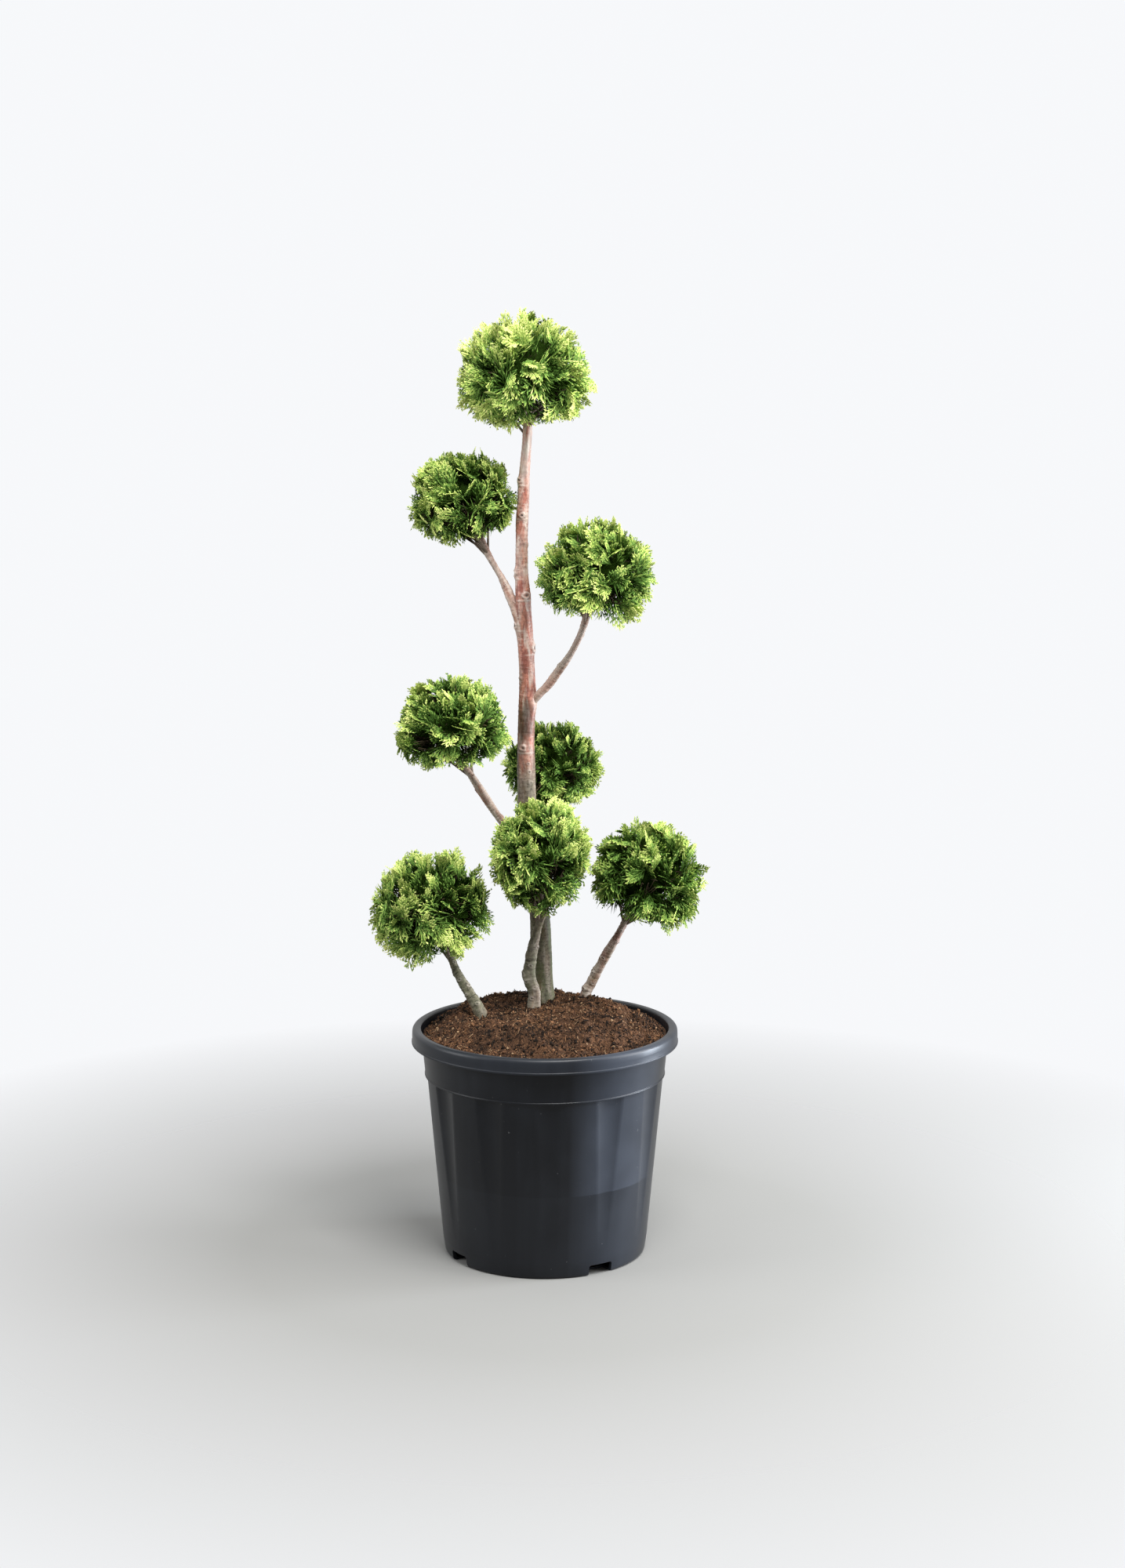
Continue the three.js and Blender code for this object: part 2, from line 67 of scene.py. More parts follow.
# The pot's outline: how far the band stands out past the body at its lower and upper end,
# the folded rim's inner radius, the rounding of a plain corner, heights in mm of the
# body's rings, steps round a corner, and the angle in degrees from which edges are sharp
BAND_OUT = (1.7 * MM, 5.7 * MM)
RIM_INNER = 165 * MM
FINE = 0.3 * MM
BODY_RINGS = [20, 35, 60, 85, 110, 135, 160, 185, 210, 232]
CORNER_STEPS = 4
SHARP_EDGE = 32

# Flutes: azimuth of the first in degrees from the front, -Y, towards +X, height of their
# lower ends, half widths in degrees above and below, and mesh columns in and between them
FLUTE_FIRST = 3.0
FLUTE_FOOT = 35 * MM
FLUTE_HALF_TOP = 7.4
FLUTE_HALF_FOOT = 3.0
FLUTE_COLUMNS = (12, 14)

# Drainage notches: how many, azimuth of the first in degrees, their size, how far the
# boxes that cut them reach in and out, and the rounding of their corners
NOTCH_COUNT = 4
NOTCH_FIRST = 33.0
NOTCH_WIDTH = 35 * MM
NOTCH_HEIGHT = 14.5 * MM
NOTCH_REACH = 22 * MM
NOTCH_ROUNDING = 3 * MM

# The mark that a stacked pot leaves, from its lower to its upper edge, the dust under it, and how
# much lighter the rim is all round, partly dust and partly a painted highlight
STACKING_MARK = (111.0 * MM, 112.2 * MM)
DUST_BELOW_MARK = 0.13
RIM_DUST_AND_HIGHLIGHT = 0.55

# The pot's painted sheen, a bluish reflection painted on its right front flank: where it is
# thickest, seen from the pot's axis, how much a place has to face that way for its edge and for
# all of it, and what is left under the mark
PAINTED_SHEEN_SIDE = (0.67, -0.74, 0.0)
PAINTED_SHEEN_EDGE = (0.865, 0.99)
PAINTED_SHEEN_BELOW_MARK = 0.38

# Soil: a level crown round the stems that falls away to the pot's wall, then radius and
# height in mm up the wall, and the rings and columns of its mesh
SOIL_LEVEL = 320 * MM
SOIL_CROWN = (-8 * MM, 10 * MM)
SOIL_CROWN_RADIUS = 99 * MM
SOIL_EDGE = 292 * MM
SOIL_EDGE_RADIUS = 161.6 * MM
SOIL_WALL = [(110, 3.2), (118, 19), (133, 70), (146, 222), (149, 243), (156, 264)]
SOIL_GRID = (118, 300)
MOIST_PATCHES = 70 * MM

# Loose crumbs: least size and what chance may add, their stretch along each axis, and how
# far their middles stand above the soil as a share of their size
CRUMB_SIZE = (0.7 * MM, 2.4 * MM)
CRUMB_STRETCH = (0.45, 1.25)
CRUMB_RAISED = 0.25

# Loose fibres: least length and thickness in mm and what chance may add, how much they
# bend, and their taper
FIBRE_LENGTH = (2.5, 7)
FIBRE_RADIUS = (0.25, 0.55)
FIBRE_BEND = 0.35
FIBRE_TAPER = np.array([[0.5, 1, 1, 0.4]])

# The shares of dark, peat, tan and rusty pieces where the soil is moist, and where it is dry
CRUMB_TONES = ([0.68, 0.26, 0.02, 0.04], [0.28, 0.44, 0.05, 0.23])
FIBRE_TONES = ([0.55, 0.34, 0.03, 0.08], [0.22, 0.36, 0.12, 0.30])

# Trunk: spine points in mm, its top, the even part of its taper, and the flare of its foot
TRUNK_SPINE = [
    (-3.7, 75, 320), (-7, 75, 425), (-23, 72, 560), (-25.7, 72, 666), (-24.3, 74, 751),
    (-31, 75, 915), (-29, 75, 1005), (-22, 75, 1118),
]
TRUNK_TOP = 1118 * MM
TRUNK_STRAIGHT_TAPER = 0.74
TRUNK_FLARE = 7 * MM
TRUNK_FLARE_HEIGHT = 16 * MM

# How far above the soil the trunk's old bark ends and its silvery bark starts, and how
# old, how green and how silvery the bark is there
OLD_BARK_ENDS = 325 * MM
SILVER_STARTS = 690 * MM
TRUNK_BARK = (0.95, 0.8, 0.75)

# Knots on the trunk: height in mm, azimuth in degrees and size
TRUNK_KNOTS = [
    (619, 31, 0.55), (634, 22, 0.6), (645, 16, 0.5), (666, -21, 1.0), (760, -65, 0.4),
    (800, 84, 1.25), (831, -88, 1.0), (872, 25, 1.05), (902, -88, 1.15), (940, 70, 0.5),
    (980, -4, 0.8), (1026, -48, 0.9), (700, 160, 0.9), (850, 190, 0.9), (960, 150, 0.7),
    (560, -140, 0.9), (470, 120, 0.8), (420, -30, 0.5),
]

# Dark patches on the trunk: the first is a painted shadow under the upper right bough's junction,
# and the others are stains. Each has its height in mm, azimuth in degrees, half height in mm, half
# width in degrees, and strength
TRUNK_SHADOW_AND_STAINS = [
    # A painted shadow under the upper right bough's junction
    (700, -6, 29, 68, 0.74),
    (765, -40, 16, 30, 0.3),
    (610, 10, 20, 45, 0.35),
]

# Side limbs: spine points in mm, root and tip diameters in mm, how old, how green and how
# silvery the bark is, and knots as share of length, degrees round the limb and size
LIMBS = {
    "bough_upper_left": {
        "spine": [(-29, 75, 818), (-36, 76, 838), (-52, 84, 879), (-68, 92, 908), (-91, 101, 949)],
        "ends": (12.4, 9.6),
        "bark": (0.35, 0.0, 0.4),
        "knots": [(0.2, 300, 0.4), (0.3, 40, 0.5), (0.47, 10, 0.35), (0.62, 200, 0.5),
                  (0.74, 330, 0.4)],
    },
    "bough_upper_right": {
        "spine": [(-24.5, 73, 718), (-7, 67, 738), (17, 58, 767), (46, 49, 815), (60, 44, 860)],
        "ends": (11.4, 9.4),
        "bark": (0.4, 0.0, 0.4),
        "knots": [(0.22, 60, 0.35), (0.45, 300, 0.5), (0.58, 20, 0.35), (0.75, 120, 0.5),
                  (0.83, 350, 0.4)],
    },
    "bough_middle_left": {
        "spine": [(-20, 72, 522), (-35, 69, 534), (-62, 54, 572), (-91, 40, 619), (-114, 34, 655)],
        "ends": (10.8, 8.6),
        "bark": (0.5, 0.0, 0.4),
        "knots": [(0.25, 10, 0.35), (0.4, 120, 0.45), (0.55, 330, 0.35), (0.7, 250, 0.5),
                  (0.82, 40, 0.4)],
    },
    "bough_middle_back": {
        "spine": [(-21, 73, 536), (-14, 95, 545), (-3, 122, 563), (10, 142, 592)],
        "ends": (12.5, 9.8),
        "bark": (0.4, 0.0, 0.3),
        "knots": [(0.5, 60, 0.5)],
    },
    "stem_front": {
        "spine": [(-15, 20, 320), (-15, 20, 342), (-21, 18.5, 362), (-17, 13, 399), (0, -4, 462)],
        "ends": (16.2, 8.8),
        "bark": (0.85, 0.45, 0.1),
        "knots": [(0.1, 340, 0.5), (0.2, 25, 0.55), (0.27, 330, 0.45), (0.33, 290, 0.8),
                  (0.42, 10, 0.5), (0.5, 250, 0.6), (0.6, 60, 0.5)],
    },
    "stem_lower_left": {
        "spine": [(-84.3, -22, 320), (-93, -19, 338), (-117, -8, 374), (-128, 3, 405),
                  (-132, 9, 424)],
        "ends": (12.4, 10.8),
        "bark": (1.0, 0.12, 0.0),
        "knots": [(0.14, 20, 0.5), (0.28, 330, 0.45), (0.35, 60, 0.45), (0.46, 0, 0.5),
                  (0.55, 280, 0.5), (0.66, 30, 0.5), (0.75, 200, 0.7)],
    },
    "stem_lower_right": {
        "spine": [(52.9, 75, 320), (61, 74, 337), (85, 65, 387), (112, 56, 436), (121, 53, 457)],
        "ends": (9.9, 9.6),
        "bark": (0.5, 0.4, 0.4),
        "knots": [(0.08, 300, 0.7), (0.17, 10, 0.5), (0.27, 280, 0.6), (0.42, 340, 0.5),
                  (0.6, 80, 0.5), (0.72, 10, 0.45)],
    },
}
BARK_MATERIAL = "ringed_bark"

# The flare at a side limb's root, and how far stems and trunk reach down into the soil
LIMB_FLARE = 1.6 * MM
LIMB_FLARE_LENGTH = 12 * MM
FOOT_BELOW_SOIL = 14 * MM

# Swellings on the trunk where the boughs leave it: how many mm above the bough's start,
# how thick and how tall
JUNCTION_ABOVE = 8
JUNCTION_SWELL = 3 * MM
JUNCTION_SPREAD = 15 * MM

# The bark's folds, ovals and cross lines: wavelength, how far they are squeezed across and
# along the limb, and their share in its relief
BARK_WAVES = [(10 * MM, (1, 1, 0.2), 0.9), (45 * MM, (1, 1, 0.5), 1.3),
              (5 * MM, (0.25, 0.25, 1.6), 0.4)]

# A knot, in units of its size: height and width of the swelling, height, middle and width
# of the ring, depth and width of the sunk middle, and strength, middle and width of the
# dark crease. Then the pale band's way down from a knot of size 1, its width and height
KNOT_SWELL = (2.4, 7.0)
KNOT_RING = (0.6, 4.2, 1.2)
KNOT_HOLLOW = (1.7, 2.0)
KNOT_CREASE = (0.45, 6.4, 0.7)
BAND_BELOW, BAND_WIDTH, BAND_HEIGHT = 7 * MM, 0.9 * MM, 0.35 * MM

# How strong the relief is by kind of limb, then the mesh of the bark, the steps in which
# limbs are followed elsewhere, and the bark's seeds
RELIEF_SHARES = {"stem": 2.6, "bough": 1.7, "trunk": 1.2}
BARK_STEP = 1.3 * MM
TRUNK_COLUMNS = 56
LIMB_COLUMNS = 36
COARSE_STEPS = 40
TRUNK_CHECKS, LIMB_CHECKS = 240, 60
TRUNK_SEED = 401
LIMB_SEED = 420

# Clipped balls, close to the solids': the limb that carries each, its centre and half width,
# its reach above and below the centre, all in mm, how yellow its tips are, how open it is
# where the limb enters, and its seed
BALLS = {
    "foliage_top": ("trunk", (-27, 75, 1160), 91, 85, 66, 0.95, 0.1, 11),
    "foliage_upper_left": ("bough_upper_left", (-110, 100, 999), 72, 65, 63, 0.45, 0.6, 22),
    "foliage_upper_right": ("bough_upper_right", (68, 45, 899), 78, 73, 68, 0.5, 1.0, 33),
    "foliage_middle_left": ("bough_middle_left", (-123, 35, 694), 77, 71, 53, 0.25, 1.0, 44),
    "foliage_middle_back": ("bough_middle_back", (9, 143, 628), 66, 60, 60, 0.1, 0.3, 55),
    "foliage_front": ("stem_front", (-4, -12, 536), 66, 76, 89, 0.55, 0.3, 66),
    "foliage_lower_left": ("stem_lower_left", (-149, 8, 457), 81, 78, 69, 0.6, 0.8, 77),
    "foliage_lower_right": ("stem_lower_right", (138, 52, 493), 78, 71, 74, 0.2, 0.5, 88),
}

# The exponents of a ball's outline above and below, and the rings and columns of its dark core, a
# painted shade that fills the ball's inside, its share of the ball's reach, and how much of that
# is drawn in below
BALL_SQUARENESS = (2.0, 2.5)
SHADE_CORE_GRID = (26, 44)
SHADE_CORE_SHARE, SHADE_CORE_DRAWN_IN = 0.60, 0.26

# Hollows in each ball: azimuth and height in degrees, how wide in degrees, and how deep as a
# share of the reach. Wide ones are notches in the outline, negative ones hanging tufts
HOLLOWS = {
    "foliage_top": [
        (20, 35, 12, 0.26), (30, -5, 13, 0.26), (5, -28, 11, 0.26), (-38, 8, 10, 0.24),
        (150, 10, 13, 0.26), (80, -55, 25, 0.18), (-70, -62, 15, -0.12)],
    "foliage_upper_left": [
        (8, -5, 13, 0.24), (-25, 22, 10, 0.24), (40, -25, 11, 0.24), (190, 20, 13, 0.26),
        (75, -52, 24, 0.15), (-78, -46, 17, -0.11)],
    "foliage_upper_right": [
        (-20, 5, 10, 0.24), (22, -12, 13, 0.26), (45, 20, 10, 0.24), (170, 0, 13, 0.26),
        (-62, -48, 28, 0.24), (55, -62, 18, -0.12)],
    "foliage_middle_left": [
        (-5, 20, 11, 0.24), (25, -10, 12, 0.26), (-40, -10, 11, 0.24), (200, 10, 13, 0.26),
        (72, -48, 27, 0.22), (-15, -62, 16, -0.1)],
    "foliage_middle_back": [
        (10, 20, 13, 0.26), (35, -15, 13, 0.26), (-20, -10, 12, 0.24), (160, 20, 13, 0.26),
        (100, -60, 24, 0.15)],
    "foliage_front": [
        (12, 18, 12, 0.24), (22, -12, 12, 0.26), (-8, -30, 11, 0.24), (-35, 5, 10, 0.22),
        (180, 0, 13, 0.26), (80, -42, 28, 0.22), (-80, -50, 22, 0.1), (60, 60, 16, -0.08)],
    "foliage_lower_left": [
        (-20, -15, 13, 0.26), (20, 8, 11, 0.24), (5, -38, 12, 0.24), (170, 10, 13, 0.26),
        (80, -60, 24, 0.15), (10, -82, 26, 0.12), (-62, -64, 13, -0.15)],
    "foliage_lower_right": [
        (5, -5, 13, 0.26), (35, 12, 11, 0.24), (-25, -25, 12, 0.24), (190, 10, 13, 0.26),
        (-70, -48, 28, 0.24), (60, -55, 17, -0.07)],
}

# How many tones darker a spray is in a hollow as deep as the whole reach, and how often
# the way to the outline is halved to find its length
HOLLOW_SHADE = 5.0
HALVINGS = 16

# The opening where the limb enters: how deep it is as a share of the reach, and how near
# to the limb's direction it starts and is full, as a cosine
OPENING = 0.42
OPENING_EDGE = (0.76, 0.94)

# How far the stem that goes on from the limb's tip runs straight, and how far leaves keep
# clear of the limbs
STEM_STRAIGHT = 12 * MM
LIMB_CLEARANCE = 1.5 * MM

# Main twigs: how unevenly they spread, how far out they end, how much they bend, and by
# how much their sprays' reach, tone and lean differ. Those whose direction is lower than
# LOW_TWIGS fork off the limb itself, up to LOW_FORK below its tip
MAIN_JITTER = 0.3
MAIN_END = 0.55
MAIN_BEND = 2.5 * MM
MAIN_REACH = (0.86, 1.05)
MAIN_TONE = 0.45
MAIN_LEAN = 0.6
LOW_TWIGS = -0.1
LOW_FORK = 40 * MM

# Sprays: how unevenly they spread, how far they crowd to their main twig, and the shares
# that stand out like combs, that stray past the outline, that are left out on the
# underside, that are left out in the opening, and of the inner ones that are dry
SPRAY_JITTER = 0.2
INNER_JITTER = 0.3
CROWDING = 0.35
COMB_SHARE = 0.4
STRAY_SHARE = 0.14
THINNED_BELOW = 0.3
OPENED = 0.85
DRY_SHARE = 0.06

# How a spray leans: up or down, away from its main twig, and at random
LEAN_UPRIGHT = 1.2
LEAN_AWAY = 0.45
LEAN_RANDOM = 0.3

# Ranges for sprays: tilt away from the ball's radius in degrees, depth of the root, which
# lies behind the spray's middle by ROOT_BACK, length as a share of the room to the
# outline, shortest and longest as shares of the ball's half width, and where along its
# main twig a spray's side twig starts
COMB_TILT, FLAT_TILT = (5, 40), (28, 66)
COMB_DEPTH, FLAT_DEPTH, INNER_DEPTH = (0.45, 0.66), (0.62, 0.86), (0.25, 0.42)
ROOT_BACK = 0.36
OVERSHOOT = (1.0, 1.3)
SHORTEST, LONGEST = 0.34, 0.64
SIDE_TWIG_START = (0.35, 1.0)

# How far out the shears cut, as shares of the outline's reach: most sprays, low ones,
# strays and inner ones, and how much this varies between the fingers of a spray
CLIP, LOW_CLIP, STRAY_CLIP, INNER_CLIP = (0.89, 1.07), (0.84, 1.07), (1.05, 1.13), (0.7, 0.8)
FINGER_CLIP = (-0.09, 0.03)
SHORTEST_FINGER = 2.4 * MM

# One spray whose axis is one long. Of the laterals, and then of the fingers on each: their
# number, where the first one starts and over how much they follow each other, their angle
# at the start and how much it closes, and their length at the start, and what is left at
# the end
LATERALS, LATERAL_STARTS = 12, (0.05, 0.79)
LATERAL_ANGLE, LATERAL_LENGTH = (0.64, 0.26), (0.58, 0.14)
FINGERS, FINGER_STARTS = 4, (0.2, 0.58)
FINGER_ANGLE, FINGER_LENGTH, FINGER_LEAST = (0.54, 0.16), (0.28, 0.08), 0.075

# Radii of the stem as shares of the limb's, of main twigs and of side twigs, from base to
# end, and how far a side twig's middle is knocked aside
STEM_RADII = np.array([[0.93, 0.97, 0.9, 0.6, 0.2]])
MAIN_RADII = [[2.0 * MM, 1.4 * MM, 0.8 * MM]]
SIDE_RADII = [[0.9 * MM, 0.75 * MM, 0.5 * MM]]
SIDE_BEND = 1.0 * MM

# A finger: how unevenly it is twisted, where it is widest, and its width, for laterals and
# for fingers on them, and how much its width differs
FINGER_TWIST = 0.2
WIDEST_AT = (0.42, 0.58)
ORDER_WIDTH = (0.85, 1.0)
WIDTH_RANGE = (0.8, 1.15)

# Tones of the fingers, counted in leaf colours: how they differ by spray and by finger, the dark
# tone of inner sprays, old leaves and painted shade inside the ball, and how much glossier each
# lighter leaf colour is
SPRAY_TONE = 0.55
FINGER_TONE = 0.55
INNER_SHADE_TONE = -1.6
LEAF_GLOSS = 0.04

# What a finger's tone adds up from: a start, then how far out it lies, a painted shade deeper in
# the ball, how high it faces, a painted shade by facing that at this share makes fingers that face
# up slightly darker, the ball's yellowness, its spray's tone, how near it is to the spray's end,
# and its order, a painted shade on laterals between the strokes. A tip is lighter by the first
# number of TIP_TONE, and by the second at an end
TONE_START = -0.5
DEPTH_SHADE, FACING_SHADE, TONE_YELLOW = 1.8, -0.1, 1.0
TONE_OF_SPRAY, TONE_END, ORDER_SHADE = 0.5, 1.3, 0.5
TIP_TONE = (0.3, 0.9)

# Stage: radii of the floor's rings and where it fades out, then the place, target, size,
# power and colour of each light
FLOOR_RINGS = [0.5, 1.5, 3.0, 5.0]
FLOOR_COLUMNS = 64
FLOOR_FADE = (0.4, 1.25)
LIGHTS = {
    "right_box": ((2.3, -0.25, 1.15), (0, 0, 0.65), 1.7, 72, (1.0, 0.99, 0.97)),
    "left_box": ((-2.4, -0.5, 1.3), (0, 0, 0.65), 1.4, 30, (0.97, 0.99, 1.0)),
    "top_box": ((0.5, -1.3, 2.9), (0, 0.05, 0.8), 1.3, 110, (1.0, 1.0, 0.985)),
    "low_box": ((1.5, 0.2, 0.26), (0, 0, 0.15), 0.46, 22, (0.80, 0.89, 1.0)),
}


def span(name, description, length):
    """A length in metres that a user may change."""
    return bpy.props.FloatProperty(name=name, description=description, default=length,
                                   unit="LENGTH")


def amount(name, description, count, least=0):
    """A whole number that a user may change."""
    return bpy.props.IntProperty(name=name, description=description, default=count, min=least)


def paint(name, description, *shade):
    """A colour that a user may change, as its linear red, green and blue."""
    return bpy.props.FloatVectorProperty(name=name, description=description, subtype="COLOR",
                                         default=shade, min=0, max=1)


class PotSettings(bpy.types.PropertyGroup):
    """Sizes and colours of the pot."""

    base_radius: span("Base radius", "Radius of the underside's outer edge", 134.3 * MM)
    body_radius: span("Body radius", "Radius of the fluted body under the band", 157.8 * MM)
    body_top: span("Body top", "Height where the band starts", 238 * MM)
    rim_radius: span("Rim radius", "Outer radius of the folded rim", 177.5 * MM)
    rim_low: span("Rim's lower edge", "Height of the folded rim's lower edge", 281 * MM)
    rim_top: span("Rim top", "Height of the pot, read from its solid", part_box("pot")[1].z)
    wall: span("Wall", "Thickness of the plastic", 2.6 * MM)
    flutes: amount("Flutes", "Number of upright grooves", 12, 3)
    flute_depth: span("Flute depth", "Depth of a groove under the band", 4.5 * MM)
    plastic: paint("Plastic", "Colour of the plastic", 0.0038, 0.0046, 0.0070)
    # The worn colour also paints the rim's highlight
    worn: paint("Worn plastic", "Colour where it is dusty or rubbed", 0.0165, 0.0195, 0.026)
    # A painted sheen: a bluish reflection painted on the pot's right front flank
    painted_sheen: paint("Bloom", "Bluish dust on the right front", 0.040, 0.048, 0.066)
    scuff: paint("Scuffs", "Colour of small scuffs", 0.16, 0.165, 0.175)


class SoilSettings(bpy.types.PropertyGroup):
    """Relief and colours of the soil."""

    relief: span("Relief", "Height of the lumps in the soil", 3.4 * MM)
    crumbs: amount("Crumbs", "Number of loose crumbs of bark", 7000)
    fibres: amount("Fibres", "Number of loose fibres", 4600)
    peat: paint("Peat", "Main colour of the soil", 0.086, 0.042, 0.022)
    dark_peat: paint("Dark peat", "Moist hollows and lumps", 0.010, 0.006, 0.004)
    tan: paint("Tan chips", "Light wood chips", 0.33, 0.21, 0.12)
    rust: paint("Rusty fibre", "Fresh bark fibre", 0.185, 0.092, 0.045)


class BarkSettings(bpy.types.PropertyGroup):
    """Sizes and colours of the bark."""

    trunk_foot: span("Trunk foot", "Diameter of the trunk just above its flare", 29.5 * MM)
    trunk_tip: span("Trunk tip", "Diameter where the top ball starts", 11.6 * MM)
    relief: span("Relief", "Height of the folds and cross lines", 0.45 * MM)
    red: paint("Red bark", "Smooth upper bark", 0.400, 0.145, 0.098)
    dark_red: paint("Dark red bark", "The upper bark's dark blotches", 0.200, 0.052, 0.036)
    silver: paint("Silver skin", "Thin skin that peels off", 0.600, 0.535, 0.475)
    olive: paint("Olive bark", "Old bark near the soil", 0.110, 0.112, 0.064)
    tan: paint("Tan bark", "Lighter old bark", 0.215, 0.190, 0.145)
    moss: paint("Green film", "Film near the soil", 0.105, 0.130, 0.052)
    # Also the colour of the painted shadow on the trunk under the upper right bough
    knot: paint("Knot", "The knots' sunk middles", 0.028, 0.024, 0.018)


class FoliageSettings(bpy.types.PropertyGroup):
    """Counts, sizes and colours of the foliage."""

    sprays: amount("Sprays", "Number of flat sprays in a ball", 500, 10)
    # Inner sprays are dark: old leaves, and painted shade inside the ball
    inner_sprays: amount("Inner sprays", "Number of dark old sprays inside a ball", 60)
    main_twigs: amount("Main twigs", "Number of twigs that leave a ball's stem", 24, 4)
    finger_width: span("Finger width", "Greatest width of a leafy finger", 2.6 * MM)
    finger_thickness: span("Finger thickness", "Greatest thickness of a finger", 1.1 * MM)
    shade: paint("Shade", "Leaves deep inside a ball", 0.0170, 0.037, 0.0052)
    deep: paint("Deep green", "Old leaves", 0.046, 0.100, 0.0165)
    leaf: paint("Leaf green", "Full-grown leaves", 0.146, 0.258, 0.051)
    fresh: paint("Fresh green", "Young leaves", 0.335, 0.450, 0.098)
    lime: paint("Lime", "Leaf tips in the light", 0.570, 0.652, 0.195)
    gold: paint("Gold", "The yellowest tips", 0.745, 0.770, 0.285)
    dry: paint("Dry", "The few sprays that have dried", 0.210, 0.160, 0.080)
    twig: paint("Twig", "Bark of the twigs where the limb forks", 0.240, 0.185, 0.150)
    # Darker than the twig colour: painted shade for the twigs inside a ball, and the side twigs'
    # own darker bark
    shaded_inner_twig: paint("Inner twig", "Bark of thin twigs in a ball", 0.045, 0.034, 0.020)


class StageSettings(bpy.types.PropertyGroup):
    """Camera, floor and light."""

    lens: bpy.props.FloatProperty(
        name="Lens", description="Focal length in millimetres", default=64.71, min=10)
    camera_place: bpy.props.FloatVectorProperty(
        name="Camera place", description="Where the camera stands", subtype="TRANSLATION",
        unit="LENGTH", default=(0.0235, -3.6934, 1.2451))
    camera_dip: bpy.props.FloatProperty(
        name="Camera dip", description="How far the camera looks down", subtype="ANGLE",
        default=math.radians(4.74))
    frame_shift: bpy.props.FloatProperty(
        name="Frame shift", description="Upright shift as a share of the frame's long side",
        default=-0.15)
    floor: paint("Floor", "Colour of the floor", 0.25, 0.25, 0.245)
    backdrop: paint("Backdrop", "Colour behind the plant", 0.93, 0.94, 0.96)


SETTINGS = {
    "cypress_pot": PotSettings,
    "cypress_soil": SoilSettings,
    "cypress_bark": BarkSettings,
    "cypress_foliage": FoliageSettings,
    "cypress_stage": StageSettings,
}


# Meshes

def new_piece(name, points, quads, triangles, materials, slots=None, smooth=True):
    """A mesh object at the origin, from whole arrays.

    points is n by 3; quads and triangles hold rows of point numbers, counterclockwise
    seen from outside; slots gives each face's material, quads first.
    """
    quads = np.asarray(quads, np.int32).reshape(-1, 4)
    triangles = np.asarray(triangles, np.int32).reshape(-1, 3)
    corners = np.concatenate([quads.ravel(), triangles.ravel()]).astype(np.int32)
    starts = np.concatenate([
        np.arange(len(quads)) * 4,
        quads.size + np.arange(len(triangles)) * 3,
    ]).astype(np.int32)
    mesh = bpy.data.meshes.new(name)
    mesh.vertices.add(len(points))
    mesh.vertices.foreach_set("co", np.asarray(points, np.float32).ravel())
    mesh.loops.add(len(corners))
    mesh.loops.foreach_set("vertex_index", corners)
    mesh.polygons.add(len(starts))
    mesh.polygons.foreach_set("loop_start", starts)
    for material in materials:
        mesh.materials.append(material)
    if slots is not None:
        mesh.polygons.foreach_set("material_index", np.asarray(slots, np.int32))
    mesh.polygons.foreach_set("use_smooth", np.full(len(starts), smooth))
    mesh.update(calc_edges=True)
    if mesh.validate():
        raise RuntimeError(f"{name} has faces that Blender can't keep")
    piece = bpy.data.objects.new(name, mesh)
    bpy.context.scene.collection.objects.link(piece)
    return piece


def add_values(piece, name, values):
    """Keeps one number, or one vector, for each point of a mesh, for its material to read."""
    kind = "FLOAT" if values.ndim == 1 else "FLOAT_VECTOR"
    field = "value" if values.ndim == 1 else "vector"
    attribute = piece.data.attributes.new(name, kind, "POINT")
    attribute.data.foreach_set(field, np.asarray(values, np.float32).ravel())


def ring_faces(rows, columns):
    """Quads between rings of points, and triangles that close both ends at two poles.

    The rings come first, row by row, and the two poles straight after them.
    """
    index = np.arange(rows * columns).reshape(rows, columns)
    after = np.roll(index, -1, axis=1)
    quads = np.stack([index[:-1], after[:-1], after[1:], index[1:]], axis=-1).reshape(-1, 4)
    low, high = rows * columns, rows * columns + 1
    bottom = np.stack([after[0], index[0], np.full(columns, low)], axis=-1)
    top = np.stack([index[-1], after[-1], np.full(columns, high)], axis=-1)
    return quads, np.concatenate([bottom, top])


def unit(vectors):
    """Vectors scaled to length one."""
    return vectors / np.maximum(np.linalg.norm(vectors, axis=-1, keepdims=True), 1e-12)


def square_to(directions, vectors):
    """The part of each vector that is square to its unit direction, scaled to length one."""
    return unit(vectors - directions * (vectors * directions).sum(axis=1, keepdims=True))


def full_turn(columns):
    """Angles evenly spaced round a full turn."""
    return np.linspace(0, 2 * math.pi, columns, endpoint=False)


def waves(points, wavelength, seed):
    """A smooth random field from -1 to 1: the sum of sines along random directions, with
    wavelengths near the given one, times 0.8 over the root of their number, and cut off."""
    rng = np.random.default_rng(seed)
    directions = unit(rng.normal(size=(SINES, 3)))
    rates = 2 * math.pi / (wavelength * rng.uniform(0.7, 1.4, SINES))
    phases = rng.uniform(0, 2 * math.pi, SINES)
    values = np.zeros(points.shape[:-1])
    for direction, rate, phase in zip(directions, rates, phases):
        values += np.sin(points @ direction * rate + phase)
    return np.clip(values / math.sqrt(SINES) * 0.8, -1, 1)


def ease(x, low, high):
    """0 below low, 1 above high and a smooth rise between."""
    share = np.clip((x - low) / (high - low), 0, 1)
    return share * share * (3 - 2 * share)


